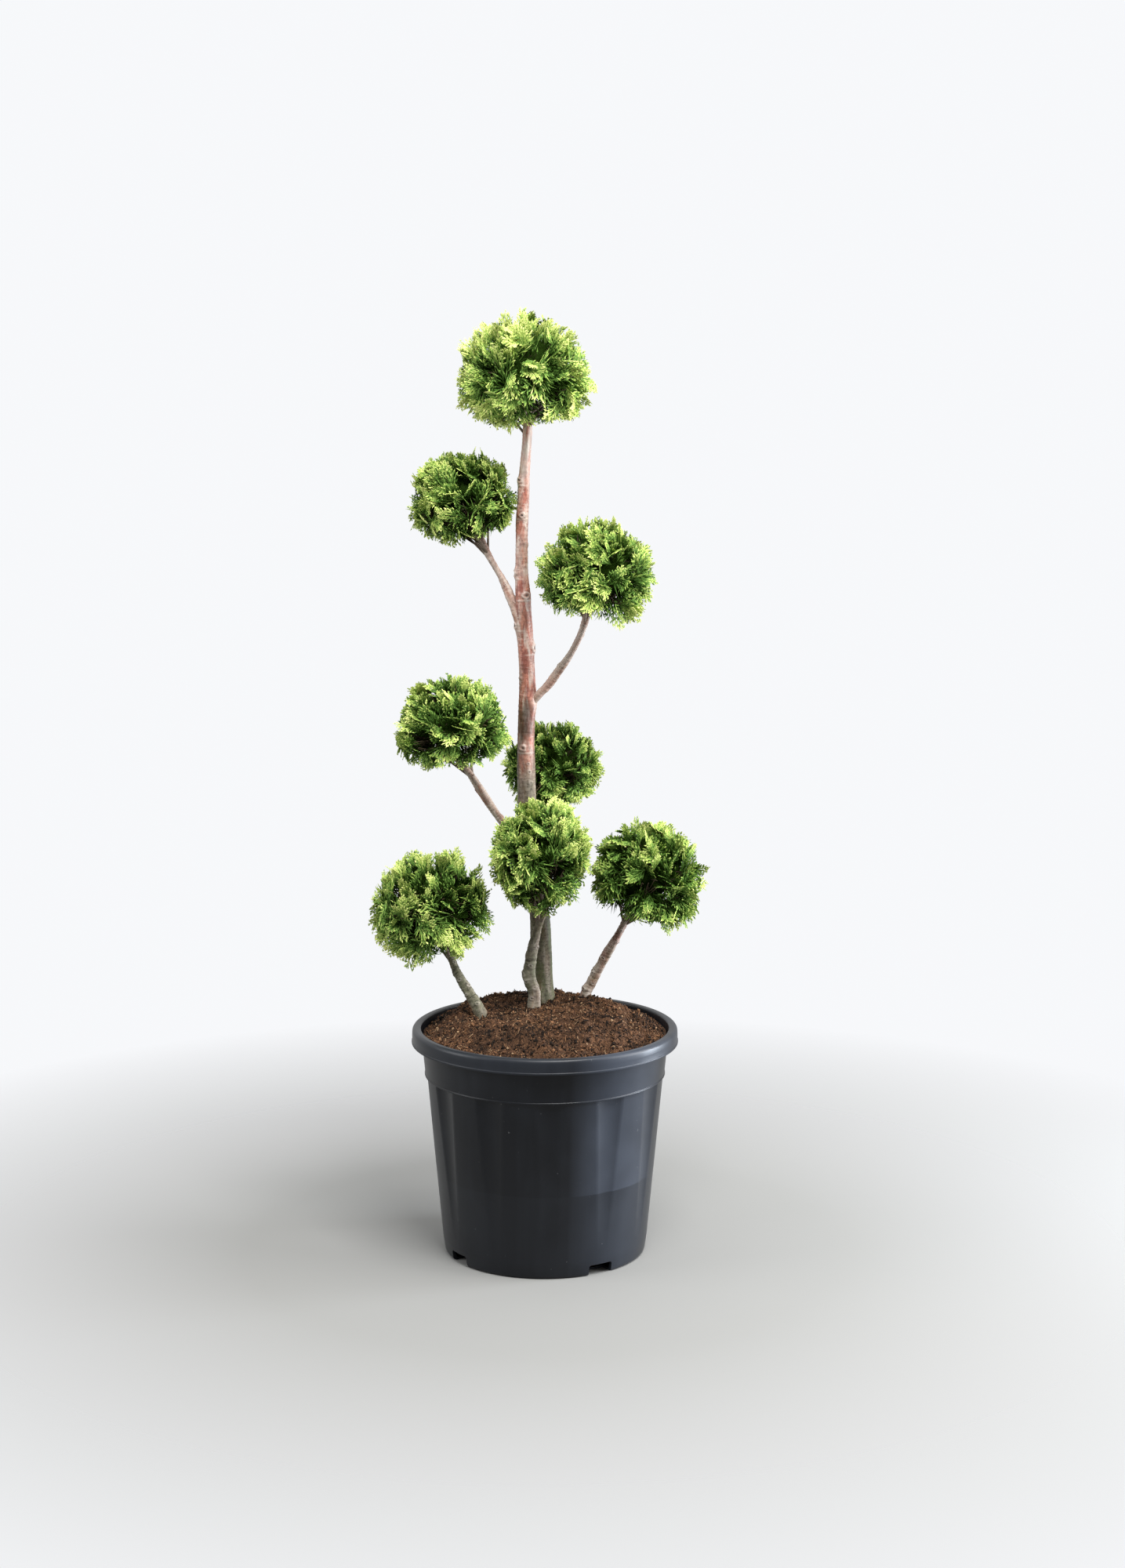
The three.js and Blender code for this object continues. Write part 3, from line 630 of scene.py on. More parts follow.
def spine_curve(points, steps):
    """Evenly spaced points on a centripetal Catmull-Rom curve, and their unit tangents.

    Between two of its points the curve is the cubic whose end slopes come from the
    neighbours, each weighted by the square root of the distance to it.
    """
    spine = np.asarray(points, float)
    spine = np.vstack([2 * spine[0] - spine[1], spine, 2 * spine[-1] - spine[-2]])
    spans = np.sqrt(np.linalg.norm(np.diff(spine, axis=0), axis=1))
    pieces = []
    share = np.linspace(0, 1, 60, endpoint=False)[:, None]
    for k in range(1, len(spine) - 2):
        a, b, c, d = spine[k - 1:k + 3]
        before, span, after = spans[k - 1:k + 2]
        start = ((b - a) / before - (c - a) / (before + span) + (c - b) / span) * span
        end = ((c - b) / span - (d - b) / (span + after) + (d - c) / after) * span
        pieces.append(b + start * share + (3 * (c - b) - 2 * start - end) * share**2
                      + (2 * (b - c) + start + end) * share**3)
    fine = np.vstack([*pieces, spine[-2:-1]])
    along = np.concatenate([[0], np.cumsum(np.linalg.norm(np.diff(fine, axis=0), axis=1))])
    even = np.linspace(0, along[-1], steps + 1)
    line = np.stack([np.interp(even, along, fine[:, k]) for k in range(3)], axis=1)
    return line, unit(np.gradient(line, axis=0)), along[-1]


# Materials

def add_node(tree, kind, sockets=None, **values):
    """One shader node. sockets holds its inputs by name or number, each a number, a colour
    or another node's output."""
    made = tree.nodes.new(kind)
    for key, value in values.items():
        setattr(made, key, value)
    for key, value in (sockets or {}).items():
        if isinstance(value, bpy.types.NodeSocket):
            tree.links.new(value, made.inputs[key])
        else:
            made.inputs[key].default_value = value
    return made


def colour(values):
    """A colour with full alpha, as shader sockets want it."""
    return (*values, 1.0)


def mixed(tree, share, first, second):
    """A colour between first and second."""
    return add_node(tree, "ShaderNodeMix", {0: share, 6: first, 7: second},
                    data_type="RGBA").outputs[2]


def ramp(tree, value, low, high, to_low=0.0, to_high=1.0):
    """A number that goes from to_low to to_high as value goes from low to high."""
    sockets = {"Value": value, "From Min": low, "From Max": high,
               "To Min": to_low, "To Max": to_high}
    return add_node(tree, "ShaderNodeMapRange", sockets).outputs["Result"]


def worked_out(tree, operation, *values, clamp=False):
    """A number worked out from up to three others."""
    return add_node(tree, "ShaderNodeMath", dict(enumerate(values)), operation=operation,
                    use_clamp=clamp).outputs[0]


def layered(tree, shade, layers):
    """A colour with others laid over it in turn.

    Each layer has its pattern, the pattern's values between which the layer comes or goes,
    its share at each of the two, and its colour.
    """
    for pattern, low, high, share_low, share_high, tint in layers:
        share = ramp(tree, pattern, low, high, share_low, share_high)
        shade = mixed(tree, share, shade, colour(tint))
    return shade


def own_place(tree):
    """The place in the piece's own frame, in metres."""
    return add_node(tree, "ShaderNodeTexCoord").outputs["Object"]


def noise(tree, vector, scale, detail=2.0, roughness=0.5, distortion=0.0):
    """A cloudy pattern from 0 to 1."""
    sockets = {"Vector": vector, "Scale": scale, "Detail": detail,
               "Roughness": roughness, "Distortion": distortion}
    return add_node(tree, "ShaderNodeTexNoise", sockets).outputs["Fac"]


def stretched(tree, vector, scale):
    """Coordinates scaled along each axis, so that a pattern on them is stretched."""
    return add_node(tree, "ShaderNodeMapping", {"Vector": vector, "Scale": scale}).outputs[0]


def bump(tree, height, distance, strength=1.0, normal=None):
    """A surface direction tilted by a height pattern."""
    sockets = {"Height": height, "Distance": distance, "Strength": strength}
    if normal is not None:
        sockets["Normal"] = normal
    return add_node(tree, "ShaderNodeBump", sockets).outputs[0]


def new_material(name, **values):
    """A material with one Principled shader, whose constant sockets are set from values."""
    material = bpy.data.materials.new(name)
    material.use_nodes = True
    shader = material.node_tree.nodes["Principled BSDF"]
    for key, value in values.items():
        shader.inputs[key.replace("_", " ")].default_value = value
    return material, material.node_tree, shader


def plastic_material(pot):
    """Satin black plastic: dusty patches and upright rub streaks, more dust under the stacking
    mark, a lighter rim that is partly dust and partly a painted highlight, a bluish painted sheen
    on the right front, and scuffs."""
    material, tree, shader = new_material("black_plastic", Specular_IOR_Level=0.30)
    place = own_place(tree)
    height = add_node(tree, "ShaderNodeSeparateXYZ", {0: place}).outputs["Z"]
    patches = noise(tree, place, 7.0, 3.0, 0.55)
    streaks = noise(tree, stretched(tree, place, (38.0, 38.0, 2.2)), 1.0, 2.0)
    specks = noise(tree, place, 160.0, 2.0, 0.6)
    below_mark = ramp(tree, height, *STACKING_MARK, 1.0, 0.0)
    rim = ramp(tree, height, pot.rim_low - 0.001, pot.rim_low + 0.004)
    dust = worked_out(tree, "ADD", ramp(tree, patches, 0.46, 0.72, 0.0, 0.4),
                      ramp(tree, streaks, 0.5, 0.8, 0.0, 0.35))
    dust = worked_out(tree, "MULTIPLY_ADD", below_mark, DUST_BELOW_MARK, dust)
    # The whole rim is laid lighter: partly dust, partly a painted highlight
    dust = worked_out(tree, "MULTIPLY_ADD", rim, RIM_DUST_AND_HIGHLIGHT, dust, clamp=True)
    shade = mixed(tree, dust, colour(pot.plastic), colour(pot.worn))
    # A bluish painted sheen on the right front flank, laid into the base colour in place of a
    # reflection and thinner under the stacking mark
    around = add_node(tree, "ShaderNodeVectorMath", {0: stretched(tree, place, (1.0, 1.0, 0.0))},
                      operation="NORMALIZE").outputs["Vector"]
    facing = add_node(tree, "ShaderNodeVectorMath", {0: around, 1: PAINTED_SHEEN_SIDE},
                      operation="DOT_PRODUCT").outputs["Value"]
    painted_sheen = worked_out(tree, "MULTIPLY", ramp(tree, facing, *PAINTED_SHEEN_EDGE),
                       ramp(tree, patches, 0.25, 0.6, 0.45, 0.95))
    painted_sheen = worked_out(tree, "MULTIPLY", painted_sheen,
                       ramp(tree, below_mark, 0.0, 1.0, 1.0, PAINTED_SHEEN_BELOW_MARK))
    shade = mixed(tree, painted_sheen, shade, colour(pot.painted_sheen))
    shade = layered(tree, shade, [(specks, 0.735, 0.78, 0.0, 0.5, pot.scuff)])
    tree.links.new(shade, shader.inputs["Base Color"])
    tree.links.new(ramp(tree, patches, 0.3, 0.75, 0.28, 0.42), shader.inputs["Roughness"])
    grain = noise(tree, place, 900.0, 2.0)
    soft = bump(tree, patches, 0.0012, 0.5)
    tree.links.new(bump(tree, grain, 0.00012, 0.35, soft), shader.inputs["Normal"])
    return material


def soil_material(soil):
    """Moist peat: dark and reddish patches, fibres drawn out two ways, and tan flecks."""
    material, tree, shader = new_material("peat", Roughness=0.95, Specular_IOR_Level=0.2)
    place = own_place(tree)
    patches = noise(tree, place, 26.0, 4.0, 0.6)
    grains = noise(tree, place, 330.0, 3.0, 0.65)
    fibre_one = noise(tree, stretched(tree, place, (420.0, 110.0, 200.0)), 1.0, 2.0, 0.6, 1.2)
    fibre_two = noise(tree, stretched(tree, place, (120.0, 430.0, 200.0)), 1.0, 2.0, 0.6, 1.2)
    shade = layered(tree, colour(soil.dark_peat), [
        (patches, 0.36, 0.60, 0.0, 1.0, soil.peat),
        (fibre_one, 0.54, 0.68, 0.0, 0.85, soil.rust),
        # Dark peat again where the grains are low, which the bump below sinks: the soil's small
        # hollows are darker
        (grains, 0.36, 0.50, 0.75, 0.0, soil.dark_peat),
        (fibre_two, 0.67, 0.74, 0.0, 0.8, soil.tan),
    ])
    tree.links.new(shade, shader.inputs["Base Color"])
    rough = bump(tree, grains, 0.0022, 0.9)
    tree.links.new(bump(tree, fibre_one, 0.0012, 0.7, rough), shader.inputs["Normal"])
    return material


def plain_material(name, shade, roughness, specular, grain=0.0):
    """One base colour, for leaves, twigs and crumbs whose colours are dealt out by piece."""
    material, tree, shader = new_material(name, Base_Color=colour(shade), Roughness=roughness,
                                          Specular_IOR_Level=specular)
    if grain:
        grains = noise(tree, own_place(tree), 700.0)
        tree.links.new(bump(tree, grains, grain), shader.inputs["Normal"])
    return material


def bark_material(bark):
    """Smooth red bark with dark red blotches, under a silvery skin that splits in cross
    lines. Old bark is olive and tan instead, with dark blotches and cracks.

    The patterns read straight, the place on the limb as if it were a straight upright rod. age
    turns young bark old, pale lightens it, knot darkens it at knots and creases and with the
    trunk's dark patches, among them a painted shadow under the upper right bough, and moss lays a
    green film.
    """
    material, tree, shader = new_material(BARK_MATERIAL, Specular_IOR_Level=0.4,
                                          Sheen_Weight=0.15, Sheen_Roughness=0.3)
    place = add_node(tree, "ShaderNodeAttribute", attribute_name="straight").outputs["Vector"]
    masks = {key: add_node(tree, "ShaderNodeAttribute", attribute_name=key).outputs["Fac"]
             for key in ("knot", "pale", "moss", "age")}
    patches = noise(tree, stretched(tree, place, (110.0, 110.0, 26.0)), 1.0, 4.0, 0.6, 0.5)
    blotches = noise(tree, stretched(tree, place, (130.0, 130.0, 48.0)), 1.0, 5.0, 0.7, 0.5)
    cross = noise(tree, stretched(tree, place, (95.0, 95.0, 480.0)), 1.0, 3.0, 0.6, 0.35)
    mottle = noise(tree, stretched(tree, place, (330.0, 330.0, 260.0)), 1.0, 3.0, 0.6, 0.3)
    grains = noise(tree, place, 480.0, 3.0, 0.6)
    young = layered(tree, colour(bark.red), [
        (blotches, 0.45, 0.57, 0.0, 1.0, bark.dark_red),
        (patches, 0.45, 0.66, 0.05, 0.7, bark.silver),
        (cross, 0.62, 0.69, 0.0, 0.5, bark.silver),
        (cross, 0.30, 0.38, 0.3, 0.0, bark.dark_red),
        (mottle, 0.56, 0.68, 0.0, 0.6, bark.dark_red),
    ])
    old = layered(tree, colour(bark.olive), [
        (patches, 0.42, 0.60, 0.0, 1.0, bark.tan),
        (grains, 0.50, 0.66, 0.0, 0.6, bark.tan),
        (blotches, 0.55, 0.66, 0.0, 0.65, bark.knot),
        (cross, 0.34, 0.44, 0.8, 0.0, bark.knot),
        (mottle, 0.52, 0.64, 0.0, 0.6, bark.knot),
    ])
    shade = mixed(tree, masks["age"], young, old)
    film = worked_out(tree, "MULTIPLY", masks["moss"], ramp(tree, grains, 0.35, 0.6), clamp=True)
    # The knot mask also holds the painted shadow under the upper right bough
    for share, tint in ((film, bark.moss), (masks["pale"], bark.silver),
                        (masks["knot"], bark.knot)):
        shade = mixed(tree, share, shade, colour(tint))
    tree.links.new(shade, shader.inputs["Base Color"])
    worn = ramp(tree, patches, 0.35, 0.65, 0.34, 0.5)
    tree.links.new(worked_out(tree, "MULTIPLY_ADD", masks["age"], 0.35, worn),
                   shader.inputs["Roughness"])
    lines = bump(tree, cross, 0.0005, 0.6)
    tree.links.new(bump(tree, grains, 0.0005, 0.6, lines), shader.inputs["Normal"])
    return material


# Pot

def rounded_outline(corners):
    """A line of radius and height through corners, each eased by a parabola between
    the two points that lie its rounding away along the neighbouring edges."""
    corners = np.asarray(corners, float)
    place, rounding = corners[:, :2], corners[:, 2:3]
    before, here, after = place[:-2], place[1:-1], place[2:]
    start = here + unit(before - here) * rounding[1:-1]
    end = here + unit(after - here) * rounding[1:-1]
    t = np.linspace(0, 1, CORNER_STEPS + 1)[None, :, None]
    arcs = (1 - t)**2 * start[:, None] + 2 * t * (1 - t) * here[:, None] + t**2 * end[:, None]
    return arcs.reshape(-1, 2)


def pot_outline(pot):
    """The pot's section from the middle of its underside, up its outside, over the folded
    rim and down its inside, as radius, height and rounding of each corner in metres."""
    wall = pot.wall
    slope = (pot.body_radius - pot.base_radius) / pot.body_top
    band_low, band_top = (pot.body_radius + out for out in BAND_OUT)
    outer = [(pot.base_radius + slope * z * MM, z * MM, FINE) for z in BODY_RINGS]
    inner = [(r - wall, z, FINE) for r, z, _ in reversed(outer)]
    return [
        (0, 0, 0),
        (pot.base_radius * 0.5, 0, FINE),
        (pot.base_radius - 1 * MM, 0, 5 * MM),
        *outer,
        (pot.body_radius, pot.body_top, FINE),
        (band_low + 0.8 * MM, pot.body_top + 0.3 * MM, 0.4 * MM),
        (band_low + 0.8 * MM, pot.body_top + 1.6 * MM, 0.4 * MM),
        (band_low, pot.body_top + 2.4 * MM, 0.4 * MM),
        ((band_low + band_top) / 2, 259.5 * MM, FINE),
        (band_top, pot.rim_low, 1.5 * MM),
        (RIM_INNER + wall, pot.rim_top - wall, 1 * MM),
        (pot.rim_radius - wall, pot.rim_top - wall, 1 * MM),
        (pot.rim_radius - wall, pot.rim_low, 0.9 * MM),
        (pot.rim_radius, pot.rim_low, 0.6 * MM),
        (pot.rim_radius, pot.rim_low + 2.4 * MM, 0.5 * MM),
        (pot.rim_radius - 0.8 * MM, pot.rim_low + 2.9 * MM, 0.3 * MM),
        (pot.rim_radius - 0.6 * MM, (pot.rim_low + pot.rim_top) / 2, 1 * MM),
        (pot.rim_radius - 1.0 * MM, pot.rim_top - 0.6 * MM, 4.5 * MM),
        ((pot.rim_radius + RIM_INNER) / 2, pot.rim_top, 1 * MM),
        (RIM_INNER, pot.rim_top - 0.2 * MM, 2.6 * MM),
        (RIM_INNER - 1.2 * MM, pot.rim_top - 10 * MM, 1 * MM),
        (band_top - wall, pot.rim_low, 1 * MM),
        (band_low - wall, pot.body_top + wall, 1 * MM),
        (pot.body_radius - wall, pot.body_top + wall - 0.4 * MM, FINE),
        *inner,
        (pot.base_radius * 0.97 - wall, wall, 1.5 * MM),
        (pot.base_radius * 0.5, wall, FINE),
        (0, wall, 0),
    ]


def fluted_columns(pot, height):
    """Azimuth of each column at each height, and its place across a flute from -1 to 1.

    Columns keep to the flutes' edges, which close in from band to foot, so a flute's
    edge is a line of the mesh. Outside the flutes the place is 1.
    """
    share = np.clip((height - FLUTE_FOOT) / (pot.body_top - FLUTE_FOOT), 0, 1)[:, None]
    half = FLUTE_HALF_FOOT + (FLUTE_HALF_TOP - FLUTE_HALF_FOOT) * share
    pitch = 360 / pot.flutes
    inside, outside = FLUTE_COLUMNS
    across = np.linspace(-1, 1, inside, endpoint=False)[None, :]
    between = np.linspace(0, 1, outside, endpoint=False)[None, :]
    one = np.concatenate([half * across, half + (pitch - 2 * half) * between], axis=1)
    place = np.concatenate([np.repeat(across, len(height), 0), np.ones((len(height), outside))],
                           axis=1)
    starts = FLUTE_FIRST + pitch * np.arange(pot.flutes)
    azimuth = (starts[None, :, None] + one[:, None, :]).reshape(len(height), -1)
    return np.radians(azimuth), np.tile(place, (1, pot.flutes)), share


def pot_surface(pot):
    """The outline turned round the axis. In the body each point is pressed in by the
    flute's depth there, times one less the square of its place across the flute."""
    outline = rounded_outline(pot_outline(pot))
    radius, height = outline[:, 0], outline[:, 1]
    azimuth, place, share = fluted_columns(pot, height)
    fluted = (height <= pot.body_top + pot.wall) & (radius > pot.base_radius * 0.6)
    fluted &= (height < pot.body_top - 0.05 * MM) | (radius < pot.body_radius - 1 * MM)
    reach = radius[:, None] - pot.flute_depth * share * (1 - place**2) * fluted[:, None]
    rings = np.stack([reach * np.sin(azimuth), -reach * np.cos(azimuth),
                      np.repeat(height[:, None], azimuth.shape[1], 1)], axis=-1)
    points = np.vstack([rings.reshape(-1, 3), (0, 0, 0), (0, 0, pot.wall)])
    return points, *ring_faces(*azimuth.shape)


def cut_notches(piece, pot):
    """Cuts the drainage notches in the lower edge: a box at each, with rounded corners,
    is taken away from the pot."""
    turns = np.radians(NOTCH_FIRST + np.arange(NOTCH_COUNT) * 360 / NOTCH_COUNT)
    steps = np.linspace(0, math.pi / 2, 4)
    half, rounding = NOTCH_WIDTH / 2, NOTCH_ROUNDING
    side = np.concatenate([
        [[-half, -NOTCH_HEIGHT], [half, -NOTCH_HEIGHT]],
        np.stack([half - rounding + rounding * np.cos(steps),
                  NOTCH_HEIGHT - rounding + rounding * np.sin(steps)], axis=1),
        np.stack([-half + rounding - rounding * np.sin(steps),
                  NOTCH_HEIGHT - rounding + rounding * np.cos(steps)], axis=1),
    ])
    count = len(side)
    points, faces = [], []
    for k, turn in enumerate(turns):
        out = np.array([math.sin(turn), -math.cos(turn), 0])
        right = np.array([math.cos(turn), math.sin(turn), 0])
        for reach in (pot.base_radius - NOTCH_REACH, pot.base_radius + NOTCH_REACH):
            points.append(out * reach + side[:, :1] * right + side[:, 1:] * UP)
        first = 2 * k * count
        ring = list(range(count))
        faces.append([first + i for i in ring[::-1]])
        faces.append([first + count + i for i in ring])
        faces += [[first + i, first + (i + 1) % count, first + count + (i + 1) % count,
                   first + count + i] for i in ring]
    mesh = bpy.data.meshes.new("notches")
    mesh.from_pydata(np.vstack(points).tolist(), [], faces)
    cutter = bpy.data.objects.new("notches", mesh)
    bpy.context.scene.collection.objects.link(cutter)
    cut = piece.modifiers.new("notches", "BOOLEAN")
    cut.operation, cut.solver, cut.object = "DIFFERENCE", "EXACT", cutter
    finished = bpy.data.meshes.new_from_object(
        piece.evaluated_get(bpy.context.evaluated_depsgraph_get()))
    piece.modifiers.remove(cut)
    piece.data = finished
    bpy.data.objects.remove(cutter)


class CYPRESS_OT_pot(bpy.types.Operator):
    """Model the nursery pot: fluted body, band, folded rim and drainage notches"""

    bl_idname = "cypress.pot"
    bl_label = "Nursery pot"

    def execute(self, context):
        pot = context.scene.cypress_pot
        points, quads, triangles = pot_surface(pot)
        piece = new_piece("pot_shell", points, quads, triangles, [plastic_material(pot)])
        cut_notches(piece, pot)
        piece.data.set_sharp_from_angle(angle=math.radians(SHARP_EDGE))
        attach(piece, BODY)
        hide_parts("pot")
        return {"FINISHED"}


# Soil

def soil_height(x, y, relief):
    """Height of the soil: level on the crown, then an even fall to the wall, with lumps,
    crumbs and grains as waves of falling length."""
    place = np.stack([x, y, np.zeros_like(x)], axis=-1)
    from_crown = np.hypot(x - SOIL_CROWN[0], y - SOIL_CROWN[1])
    from_axis = np.hypot(x, y)
    room = np.maximum(SOIL_EDGE_RADIUS - from_axis, 0)
    beyond = np.maximum(from_crown - SOIL_CROWN_RADIUS, 0)
    share = beyond / np.maximum(beyond + room, 1e-6)
    base = SOIL_LEVEL - (SOIL_LEVEL - SOIL_EDGE) * ease(share * 0.86 + 0.07, 0, 1)
    lumps = waves(place, 42 * MM, 5) * 0.9 + waves(place, 19 * MM, 6) * 0.7
    crumbs = abs(waves(place, 9 * MM, 7)) * 0.7 + waves(place, 5 * MM, 8) * 0.35
    return base + relief * (lumps + crumbs - 0.35) * (0.35 + 0.65 * ease(room, 0, 12 * MM))


def soil_surface(soil):
    """A round heightfield in rings, closed by a wall down the pot's inside and a floor."""
    rings, columns = SOIL_GRID
    radius = SOIL_EDGE_RADIUS * (np.arange(1, rings + 1) / rings)**0.9
    turn = full_turn(columns)
    x = radius[:, None] * np.cos(turn)
    y = radius[:, None] * np.sin(turn)
    top = np.stack([x, y, soil_height(x, y, soil.relief)], axis=-1)[::-1]
    reach, height = (np.array(SOIL_WALL).T * MM)[..., None]
    wall = np.stack([reach * np.cos(turn), reach * np.sin(turn),
                     np.repeat(height, columns, 1)], axis=-1)
    middle = soil_height(np.zeros(1), np.zeros(1), soil.relief)[0]
    points = np.vstack([wall.reshape(-1, 3), top.reshape(-1, 3), (0, 0, height[0, 0]),
                        (0, 0, middle)])
    return points, *ring_faces(len(wall) + rings, columns)


def scattered(rng, count):
    """Random places on the soil inside the rim, as x and y."""
    radius = (SOIL_EDGE_RADIUS - 2.5 * MM) * np.sqrt(rng.uniform(0, 1, count))
    turn = rng.uniform(0, 2 * math.pi, count)
    return radius * np.cos(turn), radius * np.sin(turn)


def dealt_tones(places, shares, rng):
    """Which tone each loose piece has: more dark ones on the moist patches."""
    moist = waves(places * np.array([1, 1, 0]), MOIST_PATCHES, 9) > 0.25
    return np.where(moist, *[rng.choice(4, len(places), p=share) for share in shares])


def crumb_shapes(soil, rng):
    """Loose crumbs: squashed octahedra of random sizes, turned every way, half sunk."""
    count = soil.crumbs
    x, y = scattered(rng, count)
    size = CRUMB_SIZE[0] + CRUMB_SIZE[1] * rng.uniform(0, 1, count)**3
    first = unit(rng.normal(size=(count, 3)))
    second = unit(np.cross(first, rng.normal(size=(count, 3))))
    third = np.cross(first, second)
    stretch = rng.uniform(*CRUMB_STRETCH, (count, 3))
    height = soil_height(x, y, soil.relief) + size * CRUMB_RAISED
    centre = np.stack([x, y, height], axis=-1)
    arms = [first * stretch[:, :1], second * stretch[:, 1:2], third * stretch[:, 2:]]
    corners = np.stack([sign * arm for arm in arms for sign in (1, -1)], axis=1)
    points = centre[:, None] + corners * size[:, None, None]
    faces = np.array([(0, 2, 4), (2, 1, 4), (1, 3, 4), (3, 0, 4),
                      (2, 0, 5), (1, 2, 5), (3, 1, 5), (0, 3, 5)])
    triangles = (faces[None] + 6 * np.arange(count)[:, None, None]).reshape(-1, 3)
    tone = dealt_tones(centre, CRUMB_TONES, rng)
    return points.reshape(-1, 3), triangles, np.repeat(tone, 8)


def rod_shapes(lines, radii, sides, spin):
    """Closed rods along many short lines at once.

    lines is n by k by 3 and radii n by k. Each line's points carry a ring of points square
    to the line's overall run, and both ends are closed by a point.
    """
    count, stops = radii.shape
    run = unit(lines[:, -1] - lines[:, 0])
    helper = np.where(np.abs(run[:, 2:]) < 0.8, UP, [[1.0, 0, 0]])
    across = unit(np.cross(helper, run))
    upright = np.cross(run, across)
    turn = full_turn(sides)[None] + spin[:, None]
    ring = (across[:, None] * np.cos(turn)[..., None] + upright[:, None] * np.sin(turn)[..., None])
    rings = lines[:, :, None] + ring[:, None] * radii[:, :, None, None]
    each = stops * sides + 2
    points = np.concatenate([rings.reshape(count, -1, 3), lines[:, :1], lines[:, -1:]], axis=1)
    quads, triangles = ring_faces(stops, sides)
    steps = each * np.arange(count)[:, None, None]
    return (points.reshape(-1, 3), (quads[None] + steps).reshape(-1, 4),
            (triangles[None] + steps).reshape(-1, 3))


def fibre_shapes(soil, rng):
    """Loose fibres: thin three-sided rods that lie along the soil and bend a little."""
    count = soil.fibres
    x, y = scattered(rng, count)
    length = (FIBRE_LENGTH[0] + FIBRE_LENGTH[1] * rng.uniform(0, 1, count)**2) * MM
    heading = rng.uniform(0, 2 * math.pi, count)
    bend = rng.normal(0, FIBRE_BEND, count)
    share = np.linspace(-0.5, 0.5, 4)
    angle = heading[:, None] + bend[:, None] * share
    px = x[:, None] + length[:, None] * share * np.cos(angle)
    py = y[:, None] + length[:, None] * share * np.sin(angle)
    inside = np.hypot(px, py).max(axis=1) < SOIL_EDGE_RADIUS - 1 * MM
    px, py, count = px[inside], py[inside], int(inside.sum())
    lift = rng.uniform(-0.1, 0.9, (count, 1)) * MM + rng.uniform(0, 1.4, (count, 4)) * MM
    lines = np.stack([px, py, soil_height(px, py, soil.relief) + lift], axis=-1)
    radii = FIBRE_RADIUS[0] + FIBRE_RADIUS[1] * rng.uniform(0, 1, (count, 1))**2
    radii = radii * MM * FIBRE_TAPER
    points, quads, triangles = rod_shapes(lines, radii, 3, rng.uniform(0, 2, count))
    tone = dealt_tones(lines[:, 1], FIBRE_TONES, rng)
    return points, quads, triangles, np.concatenate([np.repeat(tone, 9), np.repeat(tone, 6)])


class CYPRESS_OT_soil(bpy.types.Operator):
    """Model the soil: a rough crowned surface that fills the pot"""

    bl_idname = "cypress.soil"
    bl_label = "Soil"

    def execute(self, context):
        soil = context.scene.cypress_soil
        points, quads, triangles = soil_surface(soil)
        piece = new_piece("soil_bed", points, quads, triangles, [soil_material(soil)])
        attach(piece, BODY)
        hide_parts("soil")
        return {"FINISHED"}


class CYPRESS_OT_litter(bpy.types.Operator):
    """Scatter loose crumbs, chips and fibres over the soil"""

    bl_idname = "cypress.litter"
    bl_label = "Crumbs and fibres"

    def execute(self, context):
        soil = context.scene.cypress_soil
        tones = [("crumb_dark", soil.dark_peat), ("crumb_peat", soil.peat),
                 ("crumb_tan", soil.tan), ("crumb_rust", soil.rust)]
        materials = [plain_material(name, shade, 0.9, 0.2, 0.0006) for name, shade in tones]
        rng = np.random.default_rng(301)
        points, triangles, slots = crumb_shapes(soil, rng)
        crumbs = new_piece("soil_crumbs", points, [], triangles, materials, slots, smooth=False)
        points, quads, triangles, slots = fibre_shapes(soil, rng)
        fibres = new_piece("soil_fibres", points, quads, triangles, materials, slots)
        for piece in (crumbs, fibres):
            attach(piece, BODY)
        return {"FINISHED"}


# Bark

def trunk_radius(bark, height):
    """Radius of the trunk: a taper that is part even and part cubic, and a flared foot."""
    share = np.clip((height - SOIL_LEVEL) / (TRUNK_TOP - SOIL_LEVEL), 0, 1)
    fallen = share**3 + (share - share**3) * TRUNK_STRAIGHT_TAPER
    taper = bark.trunk_foot - (bark.trunk_foot - bark.trunk_tip) * fallen
    flare = TRUNK_FLARE * np.exp(-np.maximum(height - SOIL_LEVEL, 0) / TRUNK_FLARE_HEIGHT)
    return (taper + flare) / 2


def limb_line(name, steps, bark):
    """Centre line, tangents, radii and length of a bark limb, in metres."""
    if name == "trunk":
        line, tangent, length = spine_curve(np.array(TRUNK_SPINE) * MM, steps)
        return line, tangent, trunk_radius(bark, line[:, 2]), length
    limb = LIMBS[name]
    line, tangent, length = spine_curve(np.array(limb["spine"]) * MM, steps)
    share = np.linspace(0, 1, steps + 1)
    root, tip = np.array(limb["ends"]) * MM
    flare = LIMB_FLARE * np.exp(-share * length / LIMB_FLARE_LENGTH)
    return line, tangent, (root + (tip - root) * share + flare) / 2, length


def limb_knots(name, length):
    """Knots of a limb as distance along it, azimuth and size."""
    if name == "trunk":
        heights, azimuths, sizes = np.array(TRUNK_KNOTS, float).T
        return heights * MM - SOIL_LEVEL, np.radians(azimuths), sizes
    shares, azimuths, sizes = np.array(LIMBS[name]["knots"], float).T
    return shares * length, np.radians(azimuths), sizes


def junctions(name):
    """Where the boughs leave the trunk, as distance along it and azimuth."""
    found = []
    for bough, limb in LIMBS.items():
        if name == "trunk" and bough.startswith("bough"):
            start, onward = np.array(limb["spine"][0]), np.array(limb["spine"][2])
            run = onward - start
            found.append(((start[2] + JUNCTION_ABOVE) * MM - SOIL_LEVEL,
                          math.atan2(run[0], -run[1])))
    return found


def turned(turn, azimuth):
    """The angle from azimuth to turn, from minus half a turn to half a turn."""
    return (turn - azimuth + math.pi) % (2 * math.pi) - math.pi


def bell(x, middle, width):
    """A bell-shaped bump, 1 at the middle and about a third at its width."""
    return np.exp(-((x - middle) / width)**2)


